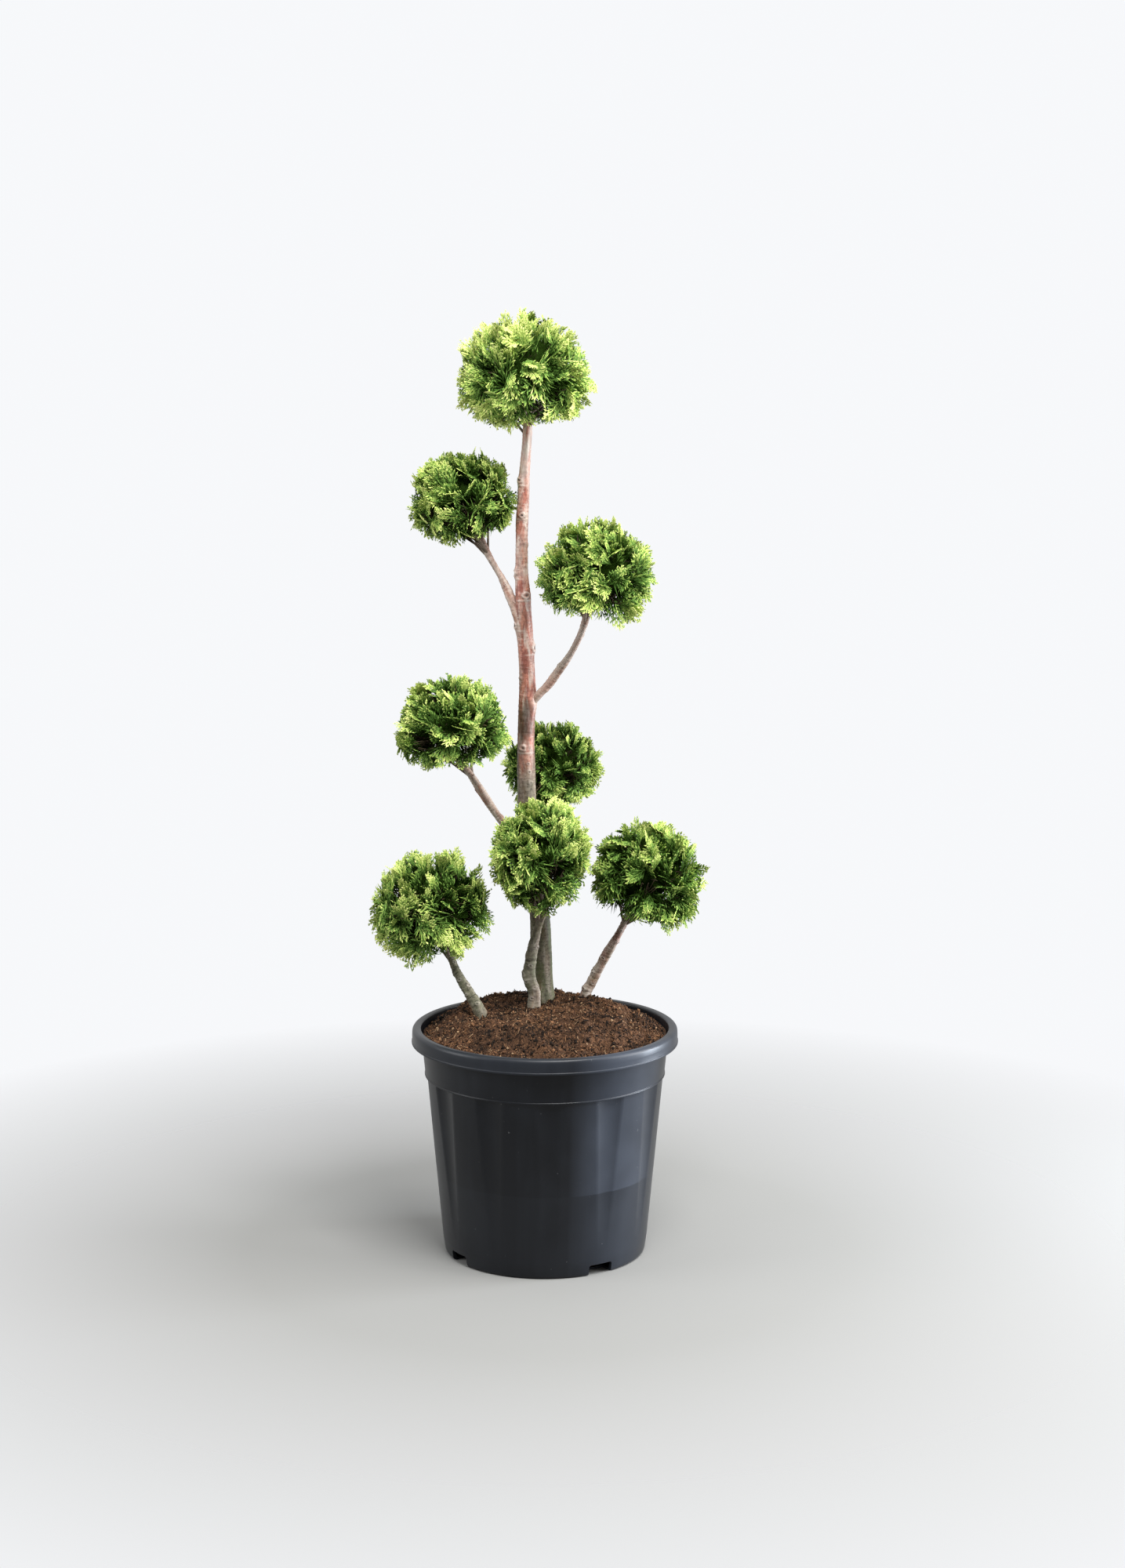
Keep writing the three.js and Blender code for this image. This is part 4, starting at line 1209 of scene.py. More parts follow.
def bark_relief(name, along, turn, radius, length, relief, seed):
    """Height of the bark above the plain limb, with masks for its dark and pale parts.

    Long folds and ovals go round the limb and cross lines are waves squeezed along it. A
    knot is a swelling with an uneven ring on it and a sunk middle, and under a large one a
    pale band runs round the limb. A junction is a pale swelling towards its bough.
    """
    straight = np.stack([radius * np.sin(turn), -radius * np.cos(turn), along], axis=-1)
    height = relief * sum(
        share * waves(straight * np.array(squeeze), wavelength, seed + k)
        for k, (wavelength, squeeze, share) in enumerate(BARK_WAVES))
    knocked = waves(straight, 7 * MM, seed + 5)
    dark, pale = np.zeros_like(height), np.zeros_like(height)
    for place, azimuth, size in zip(*limb_knots(name, length)):
        gap = turned(turn, azimuth)
        away = np.hypot((along - place) * 1.15, gap * radius) / (size * MM) + 0.9 * knocked
        ring = bell(away, *KNOT_RING[1:])
        height += size * MM * (KNOT_SWELL[0] * bell(away, 0, KNOT_SWELL[1])
                               + KNOT_RING[0] * ring
                               - KNOT_HOLLOW[0] * bell(away, 0, KNOT_HOLLOW[1]))
        crease = KNOT_CREASE[0] * bell(away, *KNOT_CREASE[1:]) * ease(knocked, -0.2, 0.3)
        dark = np.maximum(np.maximum(dark, ease(-away, -2.6, -0.9)), crease)
        band = bell(along - place + BAND_BELOW * size, 0, BAND_WIDTH)
        band = band * ease(-abs(gap), -2, -0.9) * ease(size, 0.5, 0.95)
        height += BAND_HEIGHT * band
        pale = np.maximum(pale, np.maximum(ring * (0.5 - 0.3 * knocked), 0.6 * band))
    for place, azimuth in junctions(name):
        gap = turned(turn, azimuth)
        fold = np.exp(-((along - place) / JUNCTION_SPREAD)**2 - (gap / 0.95)**2)
        height += JUNCTION_SWELL * fold
        pale = np.maximum(pale, 0.6 * fold * ease(fold, 0.2, 0.6))
    return straight, height, dark, pale * (1 - dark)


def limb_path(name, bark, step):
    """A limb's centre line, tangents, radii, distances along it and length. A limb that
    stands in the soil goes straight down a little way into it."""
    length = limb_line(name, COARSE_STEPS, bark)[3]
    line, tangent, radius, length = limb_line(name, int(round(length / step)), bark)
    along = np.linspace(0, length, len(line))
    if name == "trunk" or name.startswith("stem"):
        below = np.arange(-FOOT_BELOW_SOIL, -step / 2, step)
        line = np.vstack([line[:1] + below[:, None] * UP, line])
        tangent = np.vstack([np.repeat(UP[None], len(below), 0), tangent])
        radius = np.concatenate([np.full(len(below), radius[0]), radius])
        along = np.concatenate([below, along])
    return line, tangent, radius, along, length


def bark_ages(name, along, turn, straight, dark, seed):
    """How old the bark is, how thick its green film, how silvery it is, and dark with the trunk's
    dark patches added: a painted shadow under the upper right bough, and stains. The trunk's bark
    is old and green at its foot and silvery at its top, and each patch is an oval that fades
    towards its wavy edge."""
    if name != "trunk":
        old, green, silvery = LIMBS[name]["bark"]
        return np.full_like(along, old), np.full_like(along, green), silvery, dark
    old, green, silvery = TRUNK_BARK
    age = old * (1 - ease(along, OLD_BARK_ENDS - 80 * MM, OLD_BARK_ENDS + 80 * MM))
    film = green * (1 - ease(along, OLD_BARK_ENDS - 135 * MM, OLD_BARK_ENDS - 25 * MM))
    silvery = silvery * ease(along, SILVER_STARTS, SILVER_STARTS + 60 * MM)
    soft = 1 + 0.35 * waves(straight * np.array([1, 1, 0.5]), 12 * MM, seed + 7)
    # The first patch is a painted shadow under the upper right bough; the others are stains
    for place, azimuth, tall, wide, strength in TRUNK_SHADOW_AND_STAINS:
        gap = turned(turn, math.radians(azimuth))
        off = np.hypot((along + SOIL_LEVEL - place * MM) / (tall * MM), gap / math.radians(wide))
        dark = np.maximum(dark, strength * ease(-off * soft, -1.3, -0.45))
    return age, film, silvery, dark


def limb_surface(name, bark, step, columns, seed):
    """A limb's bark: circles square to its spine, whose radius is the limb's plus relief.

    With it go the place on the limb as if it were straight, and the masks for its
    material, broken up by waves drawn out along the limb.
    """
    line, tangent, radius, along, length = limb_path(name, bark, step)
    mean_run = unit((line[-1] - line[0])[None])[0]
    helper = np.array([0, 1.0, 0]) if abs(mean_run[1]) < 0.75 else -UP
    front = unit(helper - tangent * (tangent @ helper)[:, None])
    right = np.cross(front, tangent)
    turn = -full_turn(columns)[None]
    radius = np.repeat(radius[:, None], columns, 1)
    along = np.repeat(along[:, None], columns, 1)
    turn = np.repeat(turn, len(along), 0)
    relief = bark.relief * RELIEF_SHARES[name.split("_")[0]]
    straight, height, dark, pale = bark_relief(name, along, turn, radius, length, relief, seed)
    reach = radius + height
    rings = (line[:, None] - front[:, None] * (reach * np.cos(turn))[..., None]
             + right[:, None] * (reach * np.sin(turn))[..., None])
    points = np.vstack([rings.reshape(-1, 3), line[:1], line[-1:]])
    age, film, silvery, dark = bark_ages(name, along, turn, straight, dark, seed)
    drawn = straight * np.array([1.6, 1.6, 0.4])
    pale = pale + silvery * (0.6 + 0.7 * waves(drawn, 16 * MM, seed + 6))
    values = {
        # Knots, creases, stains and the painted shadow under the upper right bough
        "knot": dark,
        "pale": np.clip(pale, 0, 1) * (1 - dark),
        "moss": film * ease(waves(drawn, 20 * MM, seed + 3), -0.35, 0.45),
        "age": np.clip(age + 0.25 * waves(drawn, 30 * MM, seed + 4), 0, 1),
    }
    ends = [0, -1]
    values = {key: np.concatenate([v.ravel(), v[ends, 0]]) for key, v in values.items()}
    straight = np.vstack([straight.reshape(-1, 3), straight[ends, 0]])
    return points, *ring_faces(len(line), columns), straight, values


def bark_piece(name, bark, columns, seed):
    """One bark limb as a finished piece that stands for its solid. The one bark material
    is made when the first limb asks for it."""
    material = bpy.data.materials.get(BARK_MATERIAL) or bark_material(bark)
    points, quads, triangles, straight, values = limb_surface(name, bark, BARK_STEP, columns,
                                                              seed)
    piece = new_piece(name + "_bark", points, quads, triangles, [material])
    add_values(piece, "straight", straight)
    for key, numbers in values.items():
        add_values(piece, key, numbers)
    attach(piece, BODY)
    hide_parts(name)


class CYPRESS_OT_trunk(bpy.types.Operator):
    """Model the trunk's bark with its knots, cross lines and flared foot"""

    bl_idname = "cypress.trunk"
    bl_label = "Trunk"

    def execute(self, context):
        bark_piece("trunk", context.scene.cypress_bark, TRUNK_COLUMNS, TRUNK_SEED)
        return {"FINISHED"}


class CYPRESS_OT_limbs(bpy.types.Operator):
    """Model the bark of the boughs and of the side stems"""

    bl_idname = "cypress.limbs"
    bl_label = "Boughs and side stems"

    def execute(self, context):
        for k, name in enumerate(LIMBS):
            bark_piece(name, context.scene.cypress_bark, LIMB_COLUMNS, LIMB_SEED + 10 * k)
        return {"FINISHED"}


# Foliage

class Ball:
    """One clipped ball: its outline and the limb that carries it, in metres."""

    def __init__(self, name, bark):
        limb, centre, half, up, down, self.yellow, self.open, self.seed = BALLS[name]
        self.hollows = HOLLOWS[name]
        self.name = name
        self.centre = np.array(centre) * MM
        self.half, self.up, self.down = half * MM, up * MM, down * MM
        line, tangent, radius, _ = limb_line(limb, COARSE_STEPS, bark)
        self.tip, self.run, self.tip_radius = line[-1], tangent[-1], radius[-1]
        self.bend = self.tip + self.run * STEM_STRAIGHT
        self.entry = unit(self.bend - self.centre)
        self.rng = np.random.default_rng(self.seed)

    def outline_reach(self, directions):
        """Distance from the centre to the outline: an ellipse that has its own reach above
        and below, and there also its own exponent in place of 2, so that it is flatter
        below."""
        above = directions[..., 2] > 0
        tall = np.where(above, self.up, self.down)
        power = np.where(above, *BALL_SQUARENESS)
        parts = np.stack([directions[..., 0] / self.half, directions[..., 1] / self.half,
                          directions[..., 2] / tall], axis=-1)
        return (np.abs(parts)**power[..., None]).sum(axis=-1)**(-1 / power)

    def hollowed(self, directions):
        """How much of the reach the ball's hollows take away: a bell round each."""
        azimuth, height, spread, deep = np.array(self.hollows).T
        azimuth, height = np.radians(azimuth), np.radians(height)
        middles = np.stack([np.sin(azimuth) * np.cos(height), -np.cos(azimuth) * np.cos(height),
                            np.sin(height)], axis=1)
        off = np.degrees(np.arccos(np.clip(directions @ middles.T, -1, 1))) / spread
        return (deep * np.exp(-off**2)).sum(axis=1)

    def depth(self, points):
        """How far out a point lies: 0 at the centre and 1 on the outline."""
        offset = points - self.centre
        return np.linalg.norm(offset, axis=-1) / self.outline_reach(unit(offset))

    def reach_from(self, starts, directions, level=1.0):
        """Distance from points inside to the outline along directions, by halving."""
        near, far = np.zeros(len(starts)), np.full(len(starts), 3 * self.half)
        for _ in range(HALVINGS):
            middle = (near + far) / 2
            inside = self.depth(starts + directions * middle[:, None]) < level
            near, far = np.where(inside, middle, near), np.where(inside, far, middle)
        return near


def spread_directions(count, rng, jitter):
    """Directions spread evenly over a sphere along a golden spiral, each knocked aside."""
    golden = math.pi * (3 - math.sqrt(5))
    k = np.arange(count)
    height = 1 - 2 * (k + 0.5) / count
    ring = np.sqrt(1 - height**2)
    even = np.stack([ring * np.cos(k * golden), ring * np.sin(k * golden), height], axis=1)
    return unit(even + jitter * rng.uniform(-0.5, 0.5, (count, 3)))


def plan_mains(ball, foliage):
    """Main twigs, which fork off the stem below the ball's centre and run out evenly over
    the ball. The low ones fork off the limb itself."""
    rng = ball.rng
    aims = spread_directions(foliage.main_twigs, rng, MAIN_JITTER)
    count = len(aims)
    share = rng.uniform(0, 1, count) * (aims[:, 2] + 1) / 2
    forks = ball.bend + (ball.centre - ball.bend) * share[:, None]
    low = aims[:, 2] < LOW_TWIGS
    below = ball.tip - ball.run * rng.uniform(0, LOW_FORK, (count, 1))
    forks = np.where(low[:, None], below, forks)
    ends = ball.centre + aims * (ball.outline_reach(aims) * MAIN_END)[:, None]
    return {
        "aims": aims,
        "low": low,
        "forks": forks,
        "middles": (forks + ends) / 2 + rng.normal(0, MAIN_BEND, forks.shape),
        "ends": ends,
        "reach": rng.uniform(*MAIN_REACH, count),
        "tone": rng.normal(0, MAIN_TONE, count),
        "lean": rng.normal(0, MAIN_LEAN, (count, 3)),
    }


def dealt(rng, chosen, bounds, others_bounds):
    """A random number for each: between the first bounds for the chosen, and between the
    second for the others."""
    count = len(chosen)
    return np.where(chosen, rng.uniform(*bounds, count), rng.uniform(*others_bounds, count))


def redealt(rng, values, chosen, bounds):
    """The values, with new random ones between the bounds for the chosen."""
    return np.where(chosen, rng.uniform(*bounds, len(values)), values)


def aim_sprays(ball, foliage, mains):
    """Where each spray points from the ball's centre, which main twig carries it, and how
    it lies.

    Sprays spread evenly and then crowd to their main twig, away from which they lean.
    Most lie slantwise in the surface with their ends up, or down on the ball's underside.
    Combs and inner ones stand out. Some are left out on the underside and in the opening.
    """
    rng = ball.rng
    count = foliage.sprays + foliage.inner_sprays
    aims = np.vstack([spread_directions(foliage.sprays, rng, SPRAY_JITTER),
                      spread_directions(foliage.inner_sprays, rng, INNER_JITTER)])
    inner = np.arange(count) >= foliage.sprays
    carrier = np.argmax(aims @ mains["aims"].T, axis=1)
    twig = mains["aims"][carrier]
    aims = unit(aims + CROWDING * twig)
    thinned = (aims[:, 2] < -0.5) & (rng.uniform(size=count) < THINNED_BELOW)
    opened = ((aims @ ball.entry > OPENING_EDGE[0])
              & (rng.uniform(size=count) < OPENED * ball.open))
    comb = (rng.uniform(size=count) < COMB_SHARE) | inner

    away = square_to(twig, aims)
    rise = 2.0 * ease(aims[:, 2], -0.55, 0.45) - 1.0
    lean = (LEAN_UPRIGHT * rise[:, None] * UP + LEAN_AWAY * away
            + mains["lean"][carrier] + LEAN_RANDOM * rng.normal(size=aims.shape))
    tangent = square_to(aims, lean)
    stray = rng.uniform(size=count) < STRAY_SHARE
    tilt = dealt(rng, comb, COMB_TILT, FLAT_TILT) * np.where(stray, 0.5, 1.0)
    tilt = np.radians(tilt * (1 - 0.55 * ease(aims[:, 2], 0.6, 1.0)))[:, None]
    axis = aims * np.cos(tilt) + tangent * np.sin(tilt)
    level_side = np.cross(aims, tangent)
    roll = np.where(comb, rng.uniform(0, math.pi, count), rng.normal(0, 0.55, count))[:, None]
    side = level_side * np.cos(roll) + np.cross(axis, level_side) * np.sin(roll)
    return {"aims": aims, "carrier": carrier, "inner": inner, "comb": comb, "stray": stray,
            "kept": ~(thinned | opened), "tangent": tangent, "axis": axis, "side": side}


def plan_sprays(ball, foliage, mains):
    """The sprays of a ball, by the rule of the solids carried further: aims and lies, then
    roots, lengths, how far out the shears cut each, tones, and the side twigs' bases.

    A side twig leaves the nearest main twig for the root of each spray. Inner sprays are short and
    dark: old leaves, and painted shade inside the ball. A spray is cupped, curled and slim by
    random amounts.
    """
    rng = ball.rng
    sprays = aim_sprays(ball, foliage, mains)
    aims, carrier, inner, comb = (sprays[key] for key in ("aims", "carrier", "inner", "comb"))
    count = len(aims)
    depth = redealt(rng, dealt(rng, comb, COMB_DEPTH, FLAT_DEPTH), inner, INNER_DEPTH)
    toward = unit(aims - ROOT_BACK * ~comb[:, None] * sprays["tangent"])
    roots = ball.centre + toward * (ball.outline_reach(toward) * depth)[:, None]
    room = ball.reach_from(roots, sprays["axis"])
    length = np.clip(room * rng.uniform(*OVERSHOOT, count), SHORTEST * ball.half,
                     LONGEST * ball.half)

    limit = mains["reach"][carrier] * rng.uniform(*CLIP, count)
    limit = redealt(rng, limit, aims[:, 2] < -0.3, LOW_CLIP)
    limit = redealt(rng, limit, sprays["stray"], STRAY_CLIP)
    tone = (mains["tone"][carrier] + rng.normal(0, SPRAY_TONE, count)
            - HOLLOW_SHADE * np.maximum(ball.hollowed(aims), 0))
    limit = redealt(rng, limit, inner, INNER_CLIP)

    share = rng.uniform(*SIDE_TWIG_START, count)[:, None]
    forks, middles, ends = (mains[key][carrier] for key in ("forks", "middles", "ends"))
    sprays.update(
        roots=roots,
        length=length,
        limit=limit,
        tone=np.where(inner, INNER_SHADE_TONE, tone),
        bases=(1 - share)**2 * forks + 2 * share * (1 - share) * middles + share**2 * ends,
        dry=inner & (rng.uniform(size=count) < DRY_SHARE),
        curl=rng.normal(-0.12, 0.16, count),
        cup=np.where(comb, rng.normal(0, 0.25, count), rng.normal(-0.3, 0.2, count)),
        slim=(1 - 0.4 * ease(aims[:, 2], 0.0, 0.8)) * rng.uniform(0.75, 1.1, count),
    )
    kept = sprays["kept"]
    return {key: values[kept] for key, values in sprays.items()}


def fanned(count, starts, angles):
    """Where side shoots start along a shoot that is one long, and their angles from it, to
    either side by turns and closing towards its end."""
    k = np.arange(count)
    start = starts[0] + starts[1] * k / (count - 1)
    return start, np.where(k % 2 == 0, 1.0, -1.0) * (angles[0] - angles[1] * start)


def heading(angle):
    """A direction in the spray's plane."""
    return np.stack([np.cos(angle), np.sin(angle)], axis=-1)


def flat_fingers(slim, rng):
    """Base and tip of every finger of every spray in the spray's own plane, and the order
    of each: 0 for the axis, 1 for its laterals and 2 for the fingers on these."""
    count = len(slim)
    start, spread = fanned(LATERALS, LATERAL_STARTS, LATERAL_ANGLE)
    angle = spread * slim[:, None] + rng.normal(0, 0.06, (count, LATERALS))
    fall, least = LATERAL_LENGTH
    long = (fall * (1 - start) + least) * rng.uniform(0.85, 1.12, (count, LATERALS))
    lateral_base = np.stack([np.broadcast_to(start, angle.shape), 0 * angle], axis=-1)
    lateral_tip = lateral_base + long[..., None] * heading(angle)

    part, spread = fanned(FINGERS, FINGER_STARTS, FINGER_ANGLE)
    base = lateral_base[:, :, None] + part[:, None] * (lateral_tip - lateral_base)[:, :, None]
    angle = (angle[..., None] + spread * slim[:, None, None]
             + rng.normal(0, 0.1, (count, LATERALS, FINGERS)))
    fall, least = FINGER_LENGTH
    long = long[..., None] * (fall * (1 - part) + least) + FINGER_LEAST
    long = long * rng.uniform(0.8, 1.2, long.shape)
    tip = base + long[..., None] * heading(angle)

    axis_tip = np.broadcast_to([1.0, 0.0], (count, 1, 2))
    base = np.concatenate([0 * axis_tip, lateral_base, base.reshape(count, -1, 2)], axis=1)
    tip = np.concatenate([axis_tip, lateral_tip, tip.reshape(count, -1, 2)], axis=1)
    return base, tip, np.repeat([0, 1, 2], [1, LATERALS, LATERALS * FINGERS])


def plan_fingers(ball, plan):
    """Base, tip, flat side, spray and order of every finger, and how near its tip is to
    where the shears went.

    In a spray's own plane the axis carries laterals to either side by turns, shorter and
    closer to the axis towards its end, and each lateral carries fingers in the same way.
    The plane is then bent along and across, and laid out from the spray's root. What
    would pass the ball's outline is clipped there, as shears do.
    """
    rng, count = ball.rng, len(plan["roots"])
    base, tip, order = flat_fingers(plan["slim"], rng)
    across = np.cross(plan["axis"], plan["side"])
    scale = plan["length"][:, None, None]

    def laid_out(flat):
        lift = plan["curl"][:, None] * flat[..., 0]**2 + plan["cup"][:, None] * flat[..., 1]**2
        return (plan["roots"][:, None] + scale * (
            flat[..., :1] * plan["axis"][:, None] + flat[..., 1:] * plan["side"][:, None]
            + lift[..., None] * across[:, None])).reshape(-1, 3)

    base, tip = laid_out(base), laid_out(tip)
    spray = np.repeat(np.arange(count), len(order))
    order = np.tile(order, count)
    facing = unit(base - ball.centre)
    opening = OPENING * ball.open * ease(facing @ ball.entry, *OPENING_EDGE)
    limit = (plan["limit"][spray] + rng.uniform(*FINGER_CLIP, len(spray))
             - ball.hollowed(facing) - opening)
    kept = ball.depth(base) < limit - 0.02
    base, tip, spray, order, limit = (v[kept] for v in (base, tip, spray, order, limit))
    run = unit(tip - base)
    full = np.linalg.norm(tip - base, axis=1)
    room = np.minimum(full, ball.reach_from(base, run, limit))
    kept = room > SHORTEST_FINGER
    tip = base + run * room[:, None]
    rim = ease(ball.depth(tip) - limit, -0.07, -0.01)
    return base[kept], tip[kept], across[spray[kept]], spray[kept], order[kept], rim[kept]


def finger_tones(ball, plan, base, tip, spray, order, rim):
    """Which of the leaf colours each finger's lower part and tip have, from 0 in the
    shade to 5 for gold, and 6 where dry.

    Both grow lighter outwards, a painted shade deeper in the ball, along the spray and with the
    ball's yellowness, differ by spray, are a little darker where they face up, also painted shade,
    and are darker on laterals than on fingers, a painted shade between the strokes. Tips at the
    spray's end, or at the ball's outline, are lighter again.
    """
    middle = (base + tip) / 2
    upward = unit(middle - ball.centre)[:, 2]
    run = ((tip - plan["roots"][spray]) * plan["axis"][spray]).sum(axis=1)
    end = ease(run / plan["length"][spray], 0.45, 0.95)
    # Depth, facing and order add painted shade to each finger's tone
    lower = (TONE_START + DEPTH_SHADE * ease(ball.depth(middle), 0.55, 0.98)
             + FACING_SHADE * upward + TONE_YELLOW * (ball.yellow - 0.4)
             + TONE_OF_SPRAY * plan["tone"][spray] + TONE_END * end
             + ORDER_SHADE * (order - 1.5) + ball.rng.normal(0, FINGER_TONE, len(base)))
    upper = lower + TIP_TONE[0] + TIP_TONE[1] * np.maximum(0.5 * rim, end)
    tones = np.clip(np.round(np.stack([upper, lower], axis=1)), 0, 5).astype(int)
    tones[plan["dry"][spray]] = 6
    return tones


def finger_shapes(base, tip, flat, order, foliage, rng):
    """Leafy fingers: each a long double pyramid on a flat triangle round its widest place,
    whose third corner is the ridge on its upper side.

    Its five corners are the base, the triangle's three and the tip. The first three faces
    of each are its tip's.
    """
    run = unit(tip - base)
    across = unit(np.cross(flat, run) + FINGER_TWIST * rng.normal(size=run.shape))
    across = square_to(run, across)
    upright = np.cross(run, across)
    full = np.linalg.norm(tip - base, axis=1, keepdims=True)
    outer = (order == 2).astype(int)
    widest = base + run * full * np.array(WIDEST_AT)[outer][:, None]
    width = foliage.finger_width * np.array(ORDER_WIDTH)[outer]
    width = np.minimum(width * rng.uniform(*WIDTH_RANGE, len(base)), full[:, 0] * 0.5)
    width = width[:, None] / 2
    thick = foliage.finger_thickness / 2
    points = np.stack([base, widest + across * width - upright * thick / 2,
                       widest + upright * thick,
                       widest - across * width - upright * thick / 2, tip], axis=1)
    faces = np.array([(1, 2, 4), (2, 3, 4), (3, 1, 4), (2, 1, 0), (3, 2, 0), (1, 3, 0)])
    triangles = (faces[None] + 5 * np.arange(len(base))[:, None, None]).reshape(-1, 3)
    return points.reshape(-1, 3), triangles


def clear_of_limbs(points, bark, near, reach):
    """Which points keep clear of every bark limb that passes near a ball's centre."""
    clear = np.ones(len(points), bool)
    for name in ["trunk", *LIMBS]:
        steps = TRUNK_CHECKS if name == "trunk" else LIMB_CHECKS
        line, _, radius, _ = limb_line(name, steps, bark)
        close = np.linalg.norm(line - near, axis=1) < reach
        if not close.any():
            continue
        line, radius = line[close], radius[close] + LIMB_CLEARANCE
        gaps = ((points[:, None] - line[None])**2).sum(axis=-1)
        clear &= (gaps > radius[None]**2).all(axis=1)
    return clear


def sprays_piece(ball, others, plan, foliage, bark, materials):
    """All the leafy fingers of a ball as one mesh, with the colours dealt out by spray.
    Fingers that would touch a limb or reach into another ball are left out."""
    fingers = plan_fingers(ball, plan)
    base, tip = fingers[:2]
    near = 1.4 * ball.half + 10 * MM
    free = clear_of_limbs((base + tip) / 2, bark, ball.centre, near)
    free &= clear_of_limbs(tip, bark, ball.centre, near)
    for other in others:
        free &= other.depth(tip) > 1
    base, tip, flat, spray, order, rim = (v[free] for v in fingers)
    tones = finger_tones(ball, plan, base, tip, spray, order, rim)
    points, triangles = finger_shapes(base, tip, flat, order, foliage, ball.rng)
    return new_piece(ball.name + "_sprays", points, [], triangles, materials,
                     np.repeat(tones.ravel(), 3), smooth=False)


def twigs_piece(ball, mains, plan, materials):
    """The stem that goes on from the limb's tip, main twigs and side twigs as one mesh. The stem
    and the low main twigs have the first material, and all others the second, darker one: painted
    shade for the twigs inside the ball, and the side twigs' darker bark."""
    stem = np.array([[ball.tip - ball.run * 4 * MM, ball.tip, ball.bend,
                      (ball.bend + ball.centre) / 2, ball.centre]])
    main = np.stack([mains["forks"], mains["middles"], mains["ends"]], axis=1)
    bases, roots = plan["bases"], plan["roots"]
    middles = (bases + roots) / 2 + ball.rng.normal(0, SIDE_BEND, roots.shape)
    side = np.stack([bases, middles, roots + plan["axis"] * 5 * MM], axis=1)
    low = mains["low"]
    parts, first = [], 0
    for lines, radii, corners, shade in [
            (stem, ball.tip_radius * STEM_RADII, 10, 0), (main[low], MAIN_RADII, 5, 0),
            (main[~low], MAIN_RADII, 5, 1), (side, SIDE_RADII, 4, 1)]:
        points, quads, triangles = rod_shapes(lines, np.tile(radii, (len(lines), 1)), corners,
                                              np.zeros(len(lines)))
        parts.append((points, quads + first, triangles + first,
                      np.full(len(quads), shade), np.full(len(triangles), shade)))
        first += len(points)
    points, quads, triangles, *shades = (np.concatenate(column) for column in zip(*parts))
    return new_piece(ball.name + "_twigs", points, quads, triangles, materials,
                     np.concatenate(shades))


def shade_core_piece(ball, material):
    """A dark lumpy core of painted shade inside the ball: the outline at about half its reach,
    drawn in below and roughened by waves."""
    rows, columns = SHADE_CORE_GRID
    tilt = np.linspace(0, math.pi, rows + 2)[1:-1][::-1, None]
    turn = full_turn(columns)[None]
    directions = np.stack([np.sin(tilt) * np.cos(turn), np.sin(tilt) * np.sin(turn),
                           np.cos(tilt) * np.ones_like(turn)], axis=-1)
    directions = np.vstack([directions.reshape(-1, 3), -UP, UP])
    share = SHADE_CORE_SHARE - SHADE_CORE_DRAWN_IN * ease(-directions[:, 2], -0.2, 0.8)
    rough = 0.10 * waves(directions, 0.5, ball.seed) + 0.06 * waves(directions, 0.2, ball.seed + 1)
    reach = ball.outline_reach(directions) * (share + rough)
    points = ball.centre + directions * reach[:, None]
    quads, triangles = ring_faces(rows, columns)
    return new_piece(ball.name + "_heart", points, quads, triangles, [material])


class CYPRESS_OT_foliage(bpy.types.Operator):
    """Grow the twigs, sprays and dark cores of painted shade of the eight clipped balls"""

    bl_idname = "cypress.foliage"
    bl_label = "Clipped foliage"

    def execute(self, context):
        foliage, bark = context.scene.cypress_foliage, context.scene.cypress_bark
        shades = ["shade", "deep", "leaf", "fresh", "lime", "gold", "dry"]
        leaves = [plain_material("leaf_" + key, getattr(foliage, key), 0.6, LEAF_GLOSS * k)
                  for k, key in enumerate(shades)]
        twigs_bark = [plain_material("twig_bark", foliage.twig, 0.8, 0.25, 0.0005),
                      plain_material("shaded_inner_twig", foliage.shaded_inner_twig, 0.9, 0.1, 0.0005)]
        # A dark core of painted shade, in the shade colour, fills the inside of each ball
        shade_core = plain_material("painted_shade_core", foliage.shade, 0.9, 0.0, 0.004)
        balls = [Ball(name, bark) for name in BALLS]
        for ball in balls:
            others = [other for other in balls if other is not ball]
            mains = plan_mains(ball, foliage)
            plan = plan_sprays(ball, foliage, mains)
            sprays = sprays_piece(ball, others, plan, foliage, bark, leaves)
            twigs = twigs_piece(ball, mains, plan, twigs_bark)
            core = shade_core_piece(ball, shade_core)
            for piece, slot in ((sprays, "foliage"), (twigs, "bark"), (core, "foliage")):
                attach(piece, BODY)
            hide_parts(ball.name)
        return {"FINISHED"}


# Stage

def floor_material(stage):
    """Pale floor that fades out into the backdrop away from the plant."""
    material, tree, shader = new_material("pale_floor", Base_Color=colour(stage.floor),
                                          Roughness=0.85, Specular_IOR_Level=0.2)
    place = own_place(tree)
    away = add_node(tree, "ShaderNodeVectorMath", {0: place}, operation="LENGTH").outputs["Value"]
    fade = ramp(tree, away, *FLOOR_FADE)
    clear = add_node(tree, "ShaderNodeBsdfTransparent")
    blend = add_node(tree, "ShaderNodeMixShader", {0: fade, 1: shader.outputs[0],
                                                   2: clear.outputs[0]})
    tree.links.new(blend.outputs[0], tree.nodes["Material Output"].inputs["Surface"])
    return material


def soft_box(name, place, target, size, power, tint):
    """A square area light that faces the target."""
    light = bpy.data.lights.new(name, "AREA")
    light.shape, light.size, light.energy, light.color = "SQUARE", size, power, tint
    lamp = bpy.data.objects.new(name, light)
    bpy.context.scene.collection.objects.link(lamp)
    lamp.visible_camera = False
    lamp.location = place
    run = np.array(target) - np.array(place)
    lamp.rotation_euler = (math.atan2(math.hypot(run[0], run[1]), -run[2]), 0,
                           math.atan2(run[1], run[0]) - math.pi / 2)


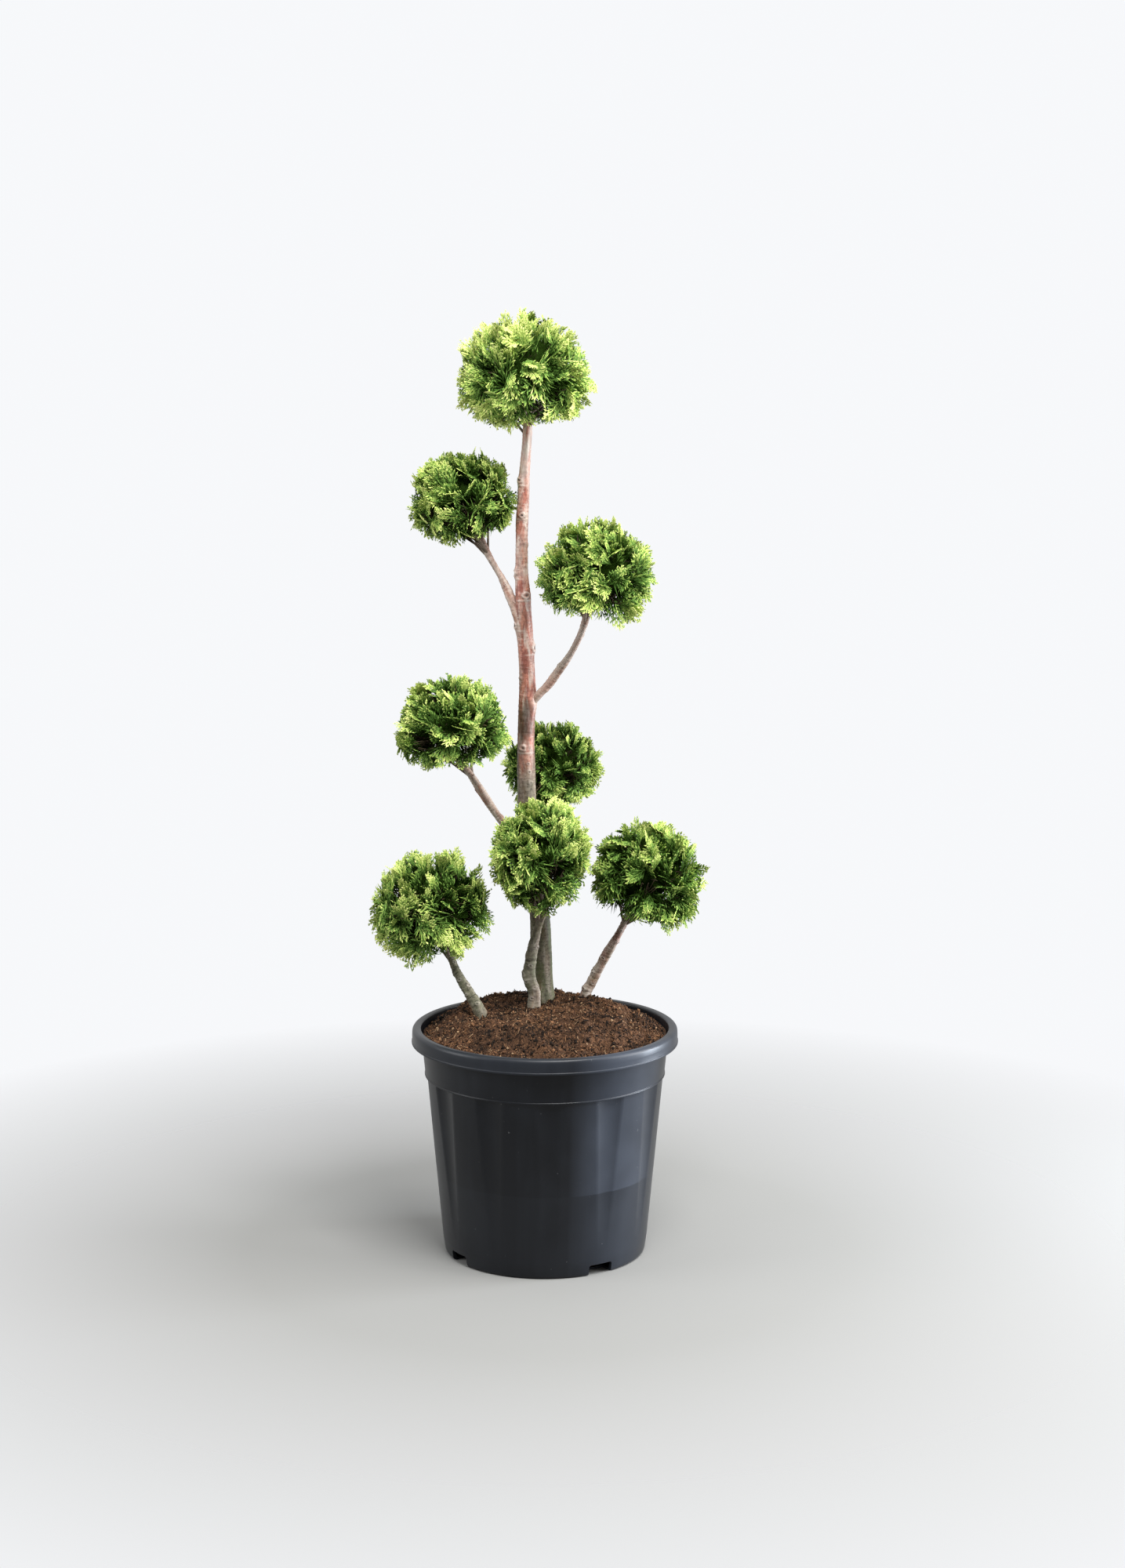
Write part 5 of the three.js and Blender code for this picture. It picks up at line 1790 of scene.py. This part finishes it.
def studio_world(stage):
    """A pale backdrop for the camera, and a room for the light that is bright overhead,
    beside and behind the plant, and dim on the camera's side."""
    world = bpy.data.worlds.new("studio")
    bpy.context.scene.world = world
    world.use_nodes = True
    tree = world.node_tree
    plain = tree.nodes["Background"]
    plain.inputs["Color"].default_value = colour(stage.backdrop)
    heading = add_node(tree, "ShaderNodeTexCoord").outputs["Generated"]
    parts = add_node(tree, "ShaderNodeSeparateXYZ", {0: heading})
    overhead = ramp(tree, parts.outputs["Z"], -0.1, 0.9, 0.55, 1.1)
    behind = ramp(tree, parts.outputs["Y"], -0.8, 0.1, 0.45, 1.0)
    strength = worked_out(tree, "MULTIPLY", overhead, behind)
    room = add_node(tree, "ShaderNodeBackground",
                    {"Color": (1.0, 1.0, 0.985, 1.0), "Strength": strength})
    seen = add_node(tree, "ShaderNodeLightPath").outputs["Is Camera Ray"]
    blend = add_node(tree, "ShaderNodeMixShader", {0: seen, 1: room.outputs[0],
                                                   2: plain.outputs[0]})
    tree.links.new(blend.outputs[0], tree.nodes["World Output"].inputs["Surface"])


class CYPRESS_OT_stage(bpy.types.Operator):
    """Set up the pale floor, the soft light and the camera"""

    bl_idname = "cypress.stage"
    bl_label = "Stage"

    def execute(self, context):
        stage = context.scene.cypress_stage
        turn = full_turn(FLOOR_COLUMNS)
        rings = np.array(FLOOR_RINGS)[:, None, None] * np.stack(
            [np.cos(turn), np.sin(turn), 0 * turn], axis=-1)
        points = np.vstack([rings.reshape(-1, 3), (0, 0, 0)])
        quads, _ = ring_faces(len(rings), FLOOR_COLUMNS)
        index = np.arange(FLOOR_COLUMNS)
        fan = np.stack([np.full_like(index, len(points) - 1), index, np.roll(index, -1)],
                       axis=-1)
        floor = new_piece("floor", points, quads[:, ::-1], fan, [floor_material(stage)])

        studio_world(stage)
        for name, light in LIGHTS.items():
            soft_box(name, *light)

        camera = bpy.data.objects.new("camera", bpy.data.cameras.new("camera"))
        context.scene.collection.objects.link(camera)
        camera.data.sensor_width = 36
        camera.data.lens = stage.lens
        camera.data.shift_y = stage.frame_shift
        camera.location = stage.camera_place
        camera.rotation_euler = (math.pi / 2 - stage.camera_dip, 0, 0)
        context.scene.camera = camera
        context.scene.view_settings.view_transform = "Standard"
        return {"FINISHED"}


OPERATORS = [
    CYPRESS_OT_pot,
    CYPRESS_OT_soil,
    CYPRESS_OT_litter,
    CYPRESS_OT_trunk,
    CYPRESS_OT_limbs,
    CYPRESS_OT_foliage,
    CYPRESS_OT_stage,
]


class CYPRESS_PT_panel(bpy.types.Panel):
    """The pieces of the plant and its stage, in the order in which they are made"""

    bl_label = "Cypress"
    bl_idname = "CYPRESS_PT_panel"
    bl_space_type = "VIEW_3D"
    bl_region_type = "UI"
    bl_category = "Cypress"

    def draw(self, context):
        for operator in OPERATORS:
            self.layout.operator(operator.bl_idname)


def register():
    """Registers the settings, the operators and the panel."""
    for name, group in SETTINGS.items():
        bpy.utils.register_class(group)
        setattr(bpy.types.Scene, name, bpy.props.PointerProperty(type=group))
    for operator in OPERATORS:
        bpy.utils.register_class(operator)
    bpy.utils.register_class(CYPRESS_PT_panel)


def unregister():
    """Takes the panel, the operators and the settings away again."""
    bpy.utils.unregister_class(CYPRESS_PT_panel)
    for operator in reversed(OPERATORS):
        bpy.utils.unregister_class(operator)
    for name, group in reversed(SETTINGS.items()):
        delattr(bpy.types.Scene, name)
        bpy.utils.unregister_class(group)


def main():
    """Makes every piece in order."""
    register()
    for operator in OPERATORS:
        group, name = operator.bl_idname.split(".")
        getattr(getattr(bpy.ops, group), name)()
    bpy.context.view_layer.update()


if __name__ == "__main__":
    main()
